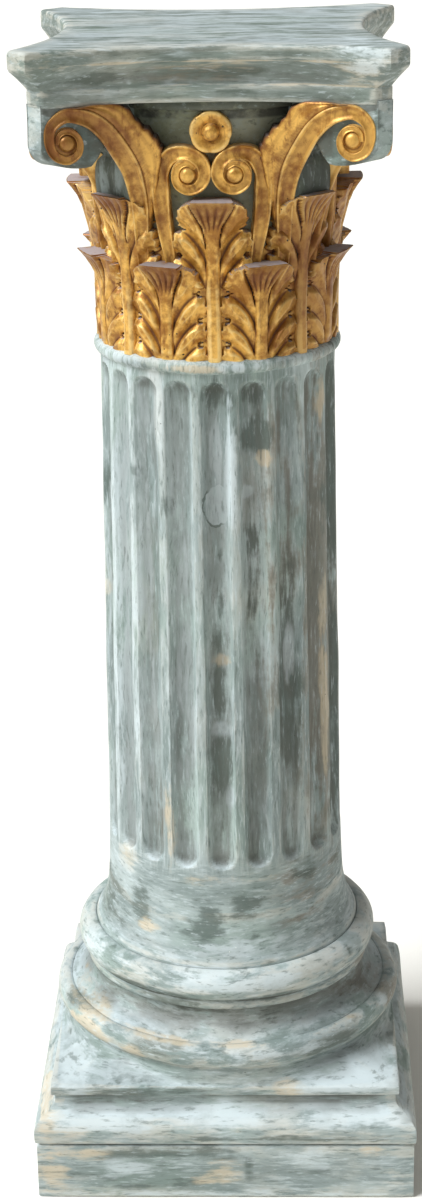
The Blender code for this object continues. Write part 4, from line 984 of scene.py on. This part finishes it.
# Buds
# A plain bud rises from behind each corner leaf to carry the horn block: two soft ribs with a groove
# between them, and a curled lip at the top. Painted dark green with a pale blue bloom; the pale streaks on the
# left front bud are painted highlights, and the right front bud is darkened with painted shade.
BUD_SIDES = 40
BUD_LEVELS = [(0.9050, 0.30, 0.0), (0.9100, 0.60, 0.0), (0.9160, 0.84, 0.0), (0.9225, 0.93, 0.0), (0.930, 0.97, 0.0),
              (0.938, 1.00, 0.0), (0.9445, 1.01, 0.0), (0.9500, 1.00, 0.1), (0.9535, 0.98, 0.5), (0.9560, 0.97, 1.0),
              (0.9580, 1.00, 0.8), (0.9592, 1.05, 0.1), (0.9604, 1.10, -0.6), (0.9620, 1.12, -0.9), (0.9638, 1.10, -0.8),
              (0.9655, 1.03, -0.3), (0.9672, 0.90, 0.0), (0.9685, 0.70, 0.0)]
BUD_MIDDLE = 0.1045
BUD_REACH = 0.0180
BUD_HALF = 0.0270


def bud_place(i, j):
    turn = 2 * math.pi * i / BUD_SIDES
    z, swell, hollow = BUD_LEVELS[j]
    front = max(math.cos(turn), 0.0)
    groove = 0.0017 * math.exp(-(math.sin(turn) / 0.20) ** 2) * (turn < 1.6 or turn > 4.7) * (z < 0.9555)
    reach = BUD_REACH * swell - groove - 0.0030 * max(hollow, 0.0) * front ** 3 + 0.0016 * max(-hollow, 0.0) * front ** 2
    z -= 0.0045 * (z > 0.950) * (1 - math.cos(turn) ** 2) * (1 if front > 0 else 0)
    square = (abs(math.cos(turn)) ** 3.4 + abs(math.sin(turn)) ** 3.4) ** (-1 / 3.4)
    spot = Vector((BUD_MIDDLE + reach * square * math.cos(turn), BUD_HALF * swell * square * math.sin(turn), z))
    return Matrix.Rotation(-math.pi / 4, 3, "Z") @ spot


# painted highlights on the left front bud, and painted shade over the right front bud
BUD_MARKS = (("pale", -49.0, 0.930, 2.2, 0.026, 0.9), ("pale", -40.0, 0.932, 1.8, 0.022, 0.75),
             ("thick", 45.0, 0.935, 22.0, 0.045, 0.75))
bud_paint = washed_plaster(
    "bud green", (60, 60, 18), Wash=(0.075, 0.088, 0.068, 1.0), Thin_wash=(0.105, 0.122, 0.102, 1.0),
    Thick_wash=(0.030, 0.036, 0.028, 1.0), Cream=(0.20, 0.23, 0.20, 1.0), Beige=(0.25, 0.22, 0.14, 1.0),
    Stroke=(0.27, 0.32, 0.31, 1.0), Dirt=(0.016, 0.018, 0.014, 1.0))
shape = bmesh.new()
drawn_up(shape, BUD_SIDES, len(BUD_LEVELS), bud_place)
all_round(shape)
uneven(shape, 30.0, 0.0005)
cast_piece("buds", shape, bud_paint, 8, BUD_MARKS)

# Inner scrolls
# On each side two thin stalks rise between the leaves, curl in and meet under the flower. Each is a ribbon
# with raised rims and a hollow channel, and ends round a domed knob.
RIBBON_SECTION = [(-1.0, None), (-1.0, -3.2), (-1.0, -1.6), (-0.97, -0.7), (-0.91, -0.15), (-0.82, 0.0), (-0.73, -0.2),
                  (-0.64, -0.75), (-0.50, -1.35), (-0.30, -1.75), (-0.10, -1.9), (0.10, -1.9), (0.30, -1.75),
                  (0.50, -1.35), (0.64, -0.75), (0.73, -0.2), (0.82, 0.0), (0.91, -0.15), (0.97, -0.7), (1.0, -1.6),
                  (1.0, -3.2), (1.0, None)]
KNOB_PROFILE = [(1.00, None), (1.00, -3.6), (0.985, -3.0), (0.94, -2.8), (0.70, -2.7), (0.56, -2.6), (0.50, -2.3),
                (0.475, -1.5), (0.45, -0.3), (0.40, 0.9), (0.32, 1.9), (0.22, 2.6), (0.11, 3.0), (0.02, 3.1)]
INNER_EYE = (0.0194, 0.9437)
INNER_FACE = 0.1160
INNER_STALK = ((0.0345, 0.0975, 0.858, 0.0042, 0.014), (0.0368, 0.1000, 0.875, 0.0050, 0.018),
               (0.0396, 0.1020, 0.892, 0.0060, 0.020), (0.0418, 0.1035, 0.910, 0.0068, 0.022),
               (0.0428, 0.1042, 0.926, 0.0074, 0.024))
INNER_CURL = ((0, 23.3, 7.4), (45, 20.6, 6.9), (90, 17.4, 6.1), (135, 15.6, 5.7), (180, 14.2, 5.3), (225, 13.2, 4.9),
              (270, 12.3, 4.4), (315, 11.2, 3.9), (360, 10.3, 3.3), (405, 9.8, 2.8), (450, 9.4, 2.3), (500, 8.7, 1.6))


def smooth_path(stations, steps):
    """A smooth run through stations, with the same number of steps between each pair."""
    rows = np.array(stations, dtype=float)
    rows = np.vstack([2 * rows[0] - rows[1], rows, 2 * rows[-1] - rows[-2]])
    run = []
    for k in range(1, len(rows) - 2):
        a, b, c, d = rows[k - 1:k + 3]
        for t in np.arange(steps) / steps:
            run.append(0.5 * (2 * b + (c - a) * t + (2 * a - 5 * b + 4 * c - d) * t * t
                              + (3 * b - a - 3 * c + d) * t ** 3))
    run.append(rows[-2])
    return np.array(run)


def ribbon(shape, run, facings):
    """A hollow ribbon along (side, out, height, half width, root) stations, each with its facing."""
    middles = [Vector((row[0], -row[1], row[2])) for row in run]

    def place(i, j):
        before, after = middles[max(j - 1, 0)], middles[min(j + 1, len(run) - 1)]
        facing = facings[j]
        across = (after - before).cross(facing).normalized()
        share, height = RIBBON_SECTION[i]
        half, root = run[j][3], run[j][4]
        lift = -root if height is None else height * MM * min(half / 0.0060, 1.15)
        return middles[j] + across * (share * half) + facing * lift

    drawn_up(shape, len(RIBBON_SECTION), len(run), place)


def knob(shape, centre, facing, size, root, knob_scale=1.0):
    """The dished floor of a scroll and the domed knob in it."""
    side = Vector((-facing.y, facing.x, 0))

    def place(i, j):
        turn = 2 * math.pi * i / 36
        share, height = KNOB_PROFILE[j]
        lift = -root if height is None else height * MM * (knob_scale if height > -2.4 else 1.0)
        reach = share * size
        return centre + side * (reach * math.cos(turn)) + Vector((0, 0, reach * math.sin(turn))) + facing * lift

    drawn_up(shape, 36, len(KNOB_PROFILE), place)


def both_sides(shape):
    """The mirror image of a right-hand shape added beside it."""
    bmesh.ops.mirror(shape, geom=shape.faces[:] + shape.edges[:] + shape.verts[:], matrix=Matrix.Identity(4),
                     merge_dist=-1, axis="X")


stations = list(INNER_STALK)
for turn, radius, half in INNER_CURL:
    a = math.radians(turn)
    out = 0.1052 + (INNER_FACE - 0.1052) * min(max(turn / 110, 0.0), 1.0)
    stations.append((INNER_EYE[0] + radius * MM * math.cos(a), out - 0.0008 * max(turn - 200, 0) / 300,
                     INNER_EYE[1] + radius * MM * math.sin(a), half * MM, 0.026))
run = smooth_path(stations, 7)
facings = [Vector((0.36 * (1 - min(j / 38, 1.0)), -1, 0)).normalized() for j in range(len(run))]
shape = bmesh.new()
ribbon(shape, run, facings)
knob(shape, Vector((INNER_EYE[0], -INNER_FACE + 0.0004, INNER_EYE[1])), Vector((0, -1, 0)), 0.0138, 0.026)
both_sides(shape)
all_round(shape)
uneven(shape, 40.0, 0.0005)
scroll_gold = gilding("scroll gold", 0.50, 0.25)
cast_piece("inner_scrolls", shape, scroll_gold, 6, GOLD_MARKS)

# Corner scrolls
# A broad stalk with a toothed leaf along its inner side sweeps out from between the leaves to each horn,
# and curls there round a knob. The scroll's face is turned a little towards the middle of its side.
CORNER_EYE = (0.1150, 0.9752)
CORNER_FACE = 0.1437
CORNER_TURN = math.radians(12.5)
CORNER_STALK = ((0.0590, 0.0880, 0.8613, 0.0052, 0.020), (0.0597, 0.0905, 0.8789, 0.0060, 0.022),
                (0.0600, 0.0950, 0.8985, 0.0068, 0.024), (0.0612, 0.1005, 0.9215, 0.0076, 0.028),
                (0.0655, 0.1085, 0.9440, 0.0084, 0.031), (0.0728, 0.1190, 0.9622, 0.0084, 0.024),
                (0.0830, 0.1310, 0.9807, 0.0078, 0.019), (0.0955, 0.1395, 0.9930, 0.0070, 0.018))
CORNER_CURL = ((75, 22.8, 6.1), (100, 21.0, 5.6), (135, 17.6, 4.9), (180, 14.0, 4.2), (225, 13.8, 3.8), (270, 13.8, 3.4),
               (315, 12.3, 3.1), (360, 10.9, 2.7), (405, 10.1, 2.5), (450, 9.4, 2.3), (495, 8.6, 2.0), (545, 7.7, 1.5))
LEAF_EDGE = ((0.0540, 0.0920, 0.884), (0.0518, 0.0955, 0.900), (0.0490, 0.0995, 0.916), (0.0455, 0.1035, 0.932),
             (0.0425, 0.1075, 0.947), (0.0405, 0.1110, 0.959), (0.0412, 0.1135, 0.967), (0.0450, 0.1160, 0.9735),
             (0.0500, 0.1180, 0.9800), (0.0560, 0.1205, 0.9850), (0.0610, 0.1230, 0.9920), (0.0680, 0.1265, 1.0010),
             (0.0790, 0.1320, 1.0045), (0.0930, 0.1390, 1.0050), (0.1020, 0.1430, 1.0035))
LEAF_SECTION = ((0.0, None), (0.0, -1.5), (0.06, -0.7), (0.14, 0.1), (0.24, 0.6), (0.34, 0.5), (0.42, 0.0), (0.50, 0.2),
                (0.60, 0.8), (0.70, 0.9), (0.80, 0.4), (0.88, 0.2), (0.95, -0.2), (1.0, -1.2), (1.0, None))
LEAF_TEETH = 11.5

scroll_facing = Vector((-math.sin(CORNER_TURN), -math.cos(CORNER_TURN), 0))
scroll_side = Vector((math.cos(CORNER_TURN), -math.sin(CORNER_TURN), 0))
eye = Vector((CORNER_EYE[0], -CORNER_FACE, CORNER_EYE[1]))
stations = list(CORNER_STALK)
for turn, radius, half in CORNER_CURL:
    a = math.radians(turn)
    spot = eye + scroll_side * (-radius * MM * math.cos(a)) + Vector((0, 0, radius * MM * math.sin(a)))
    stations.append((spot.x, -spot.y, spot.z, half * MM, 0.016))
run = smooth_path(stations, 8)
bend_steps = 8 * len(CORNER_STALK)
facings = [Vector((0.28, -1, 0)).normalized().lerp(scroll_facing, min(max((j - 12) / (bend_steps - 12), 0.0), 1.0)).normalized()
           for j in range(len(run))]
shape = bmesh.new()
ribbon(shape, run, facings)
knob(shape, eye + scroll_facing * 0.0002, scroll_facing, 0.0128, 0.014, 0.75)
edge_run = smooth_path([row + (0.0, 0.0) for row in LEAF_EDGE], 9)


def leaf_place(i, j):
    share = j / (len(edge_run) - 1)
    along = 10 + share * (bend_steps - 8)
    k = int(along)
    centre = Vector((run[k][0], -run[k][1], run[k][2])).lerp(Vector((run[k + 1][0], -run[k + 1][1], run[k + 1][2])), along - k)
    ahead = Vector((run[k + 1][0] - run[k][0], -(run[k + 1][1] - run[k][1]), run[k + 1][2] - run[k][2]))
    facing = facings[k]
    across = ahead.cross(facing).normalized()
    crease = centre - across * (run[k][3] * 0.93) - facing * 0.0006
    tooth = (share * LEAF_TEETH) % 1.0
    outward = 0.0024 * (tooth ** 1.3 * (1 - tooth ** 9) * 1.25 - 0.45) * min(share * 8, 1.0)
    edge = Vector((edge_run[j][0], -edge_run[j][1], edge_run[j][2]))
    across_share, height = LEAF_SECTION[i]
    edge += (edge - crease).normalized() * (outward * across_share ** 4)
    lift = -(0.010 + 0.020 * math.sin(math.pi * min(share * 1.15, 1.0))) if height is None else height * MM
    return crease.lerp(edge, across_share) + facing * lift


drawn_up(shape, len(LEAF_SECTION), len(edge_run), leaf_place)
both_sides(shape)
all_round(shape)
uneven(shape, 36.0, 0.0006)
cast_piece("corner_scrolls", shape, scroll_gold, 6, GOLD_MARKS)

# Flowers
# One small dished flower on the middle of each side, just under the abacus, with a round knob in it.
FLOWER_MIDDLE = 0.9787
FLOWER_FACE = 0.1160
FLOWER_PETALS = 5
FLOWER_PROFILE = [(17.6, None), (17.8, -6.0), (17.8, -2.2), (17.6, -1.0), (17.0, -0.2), (15.8, 0.2), (14.2, 0.1),
                  (12.4, -0.4), (10.6, -1.1), (9.2, -1.9), (8.2, -2.4), (7.6, -2.5), (7.2, -2.1), (7.0, -1.2), (6.6, 0.2),
                  (5.8, 1.7), (4.6, 2.9), (3.2, 3.7), (1.6, 4.2), (0.3, 4.3)]


def flower_place(i, j):
    turn = 2 * math.pi * i / 60
    reach, height = FLOWER_PROFILE[j]
    fold = abs(math.sin(FLOWER_PETALS * (turn + 0.35) / 2)) ** 0.5
    on_petal = reach > 7.5
    reach *= 1 - 0.065 * (1 - fold) * on_petal
    lift = -0.020 if height is None else (height - 1.1 * (1 - fold) * on_petal) * MM
    return Vector((reach * MM * math.cos(turn), -FLOWER_FACE - lift, FLOWER_MIDDLE + reach * MM * math.sin(turn)))


shape = bmesh.new()
drawn_up(shape, 60, len(FLOWER_PROFILE), flower_place)
all_round(shape)
uneven(shape, 45.0, 0.0005)
cast_piece("flowers", shape, scroll_gold, 6, GOLD_MARKS)
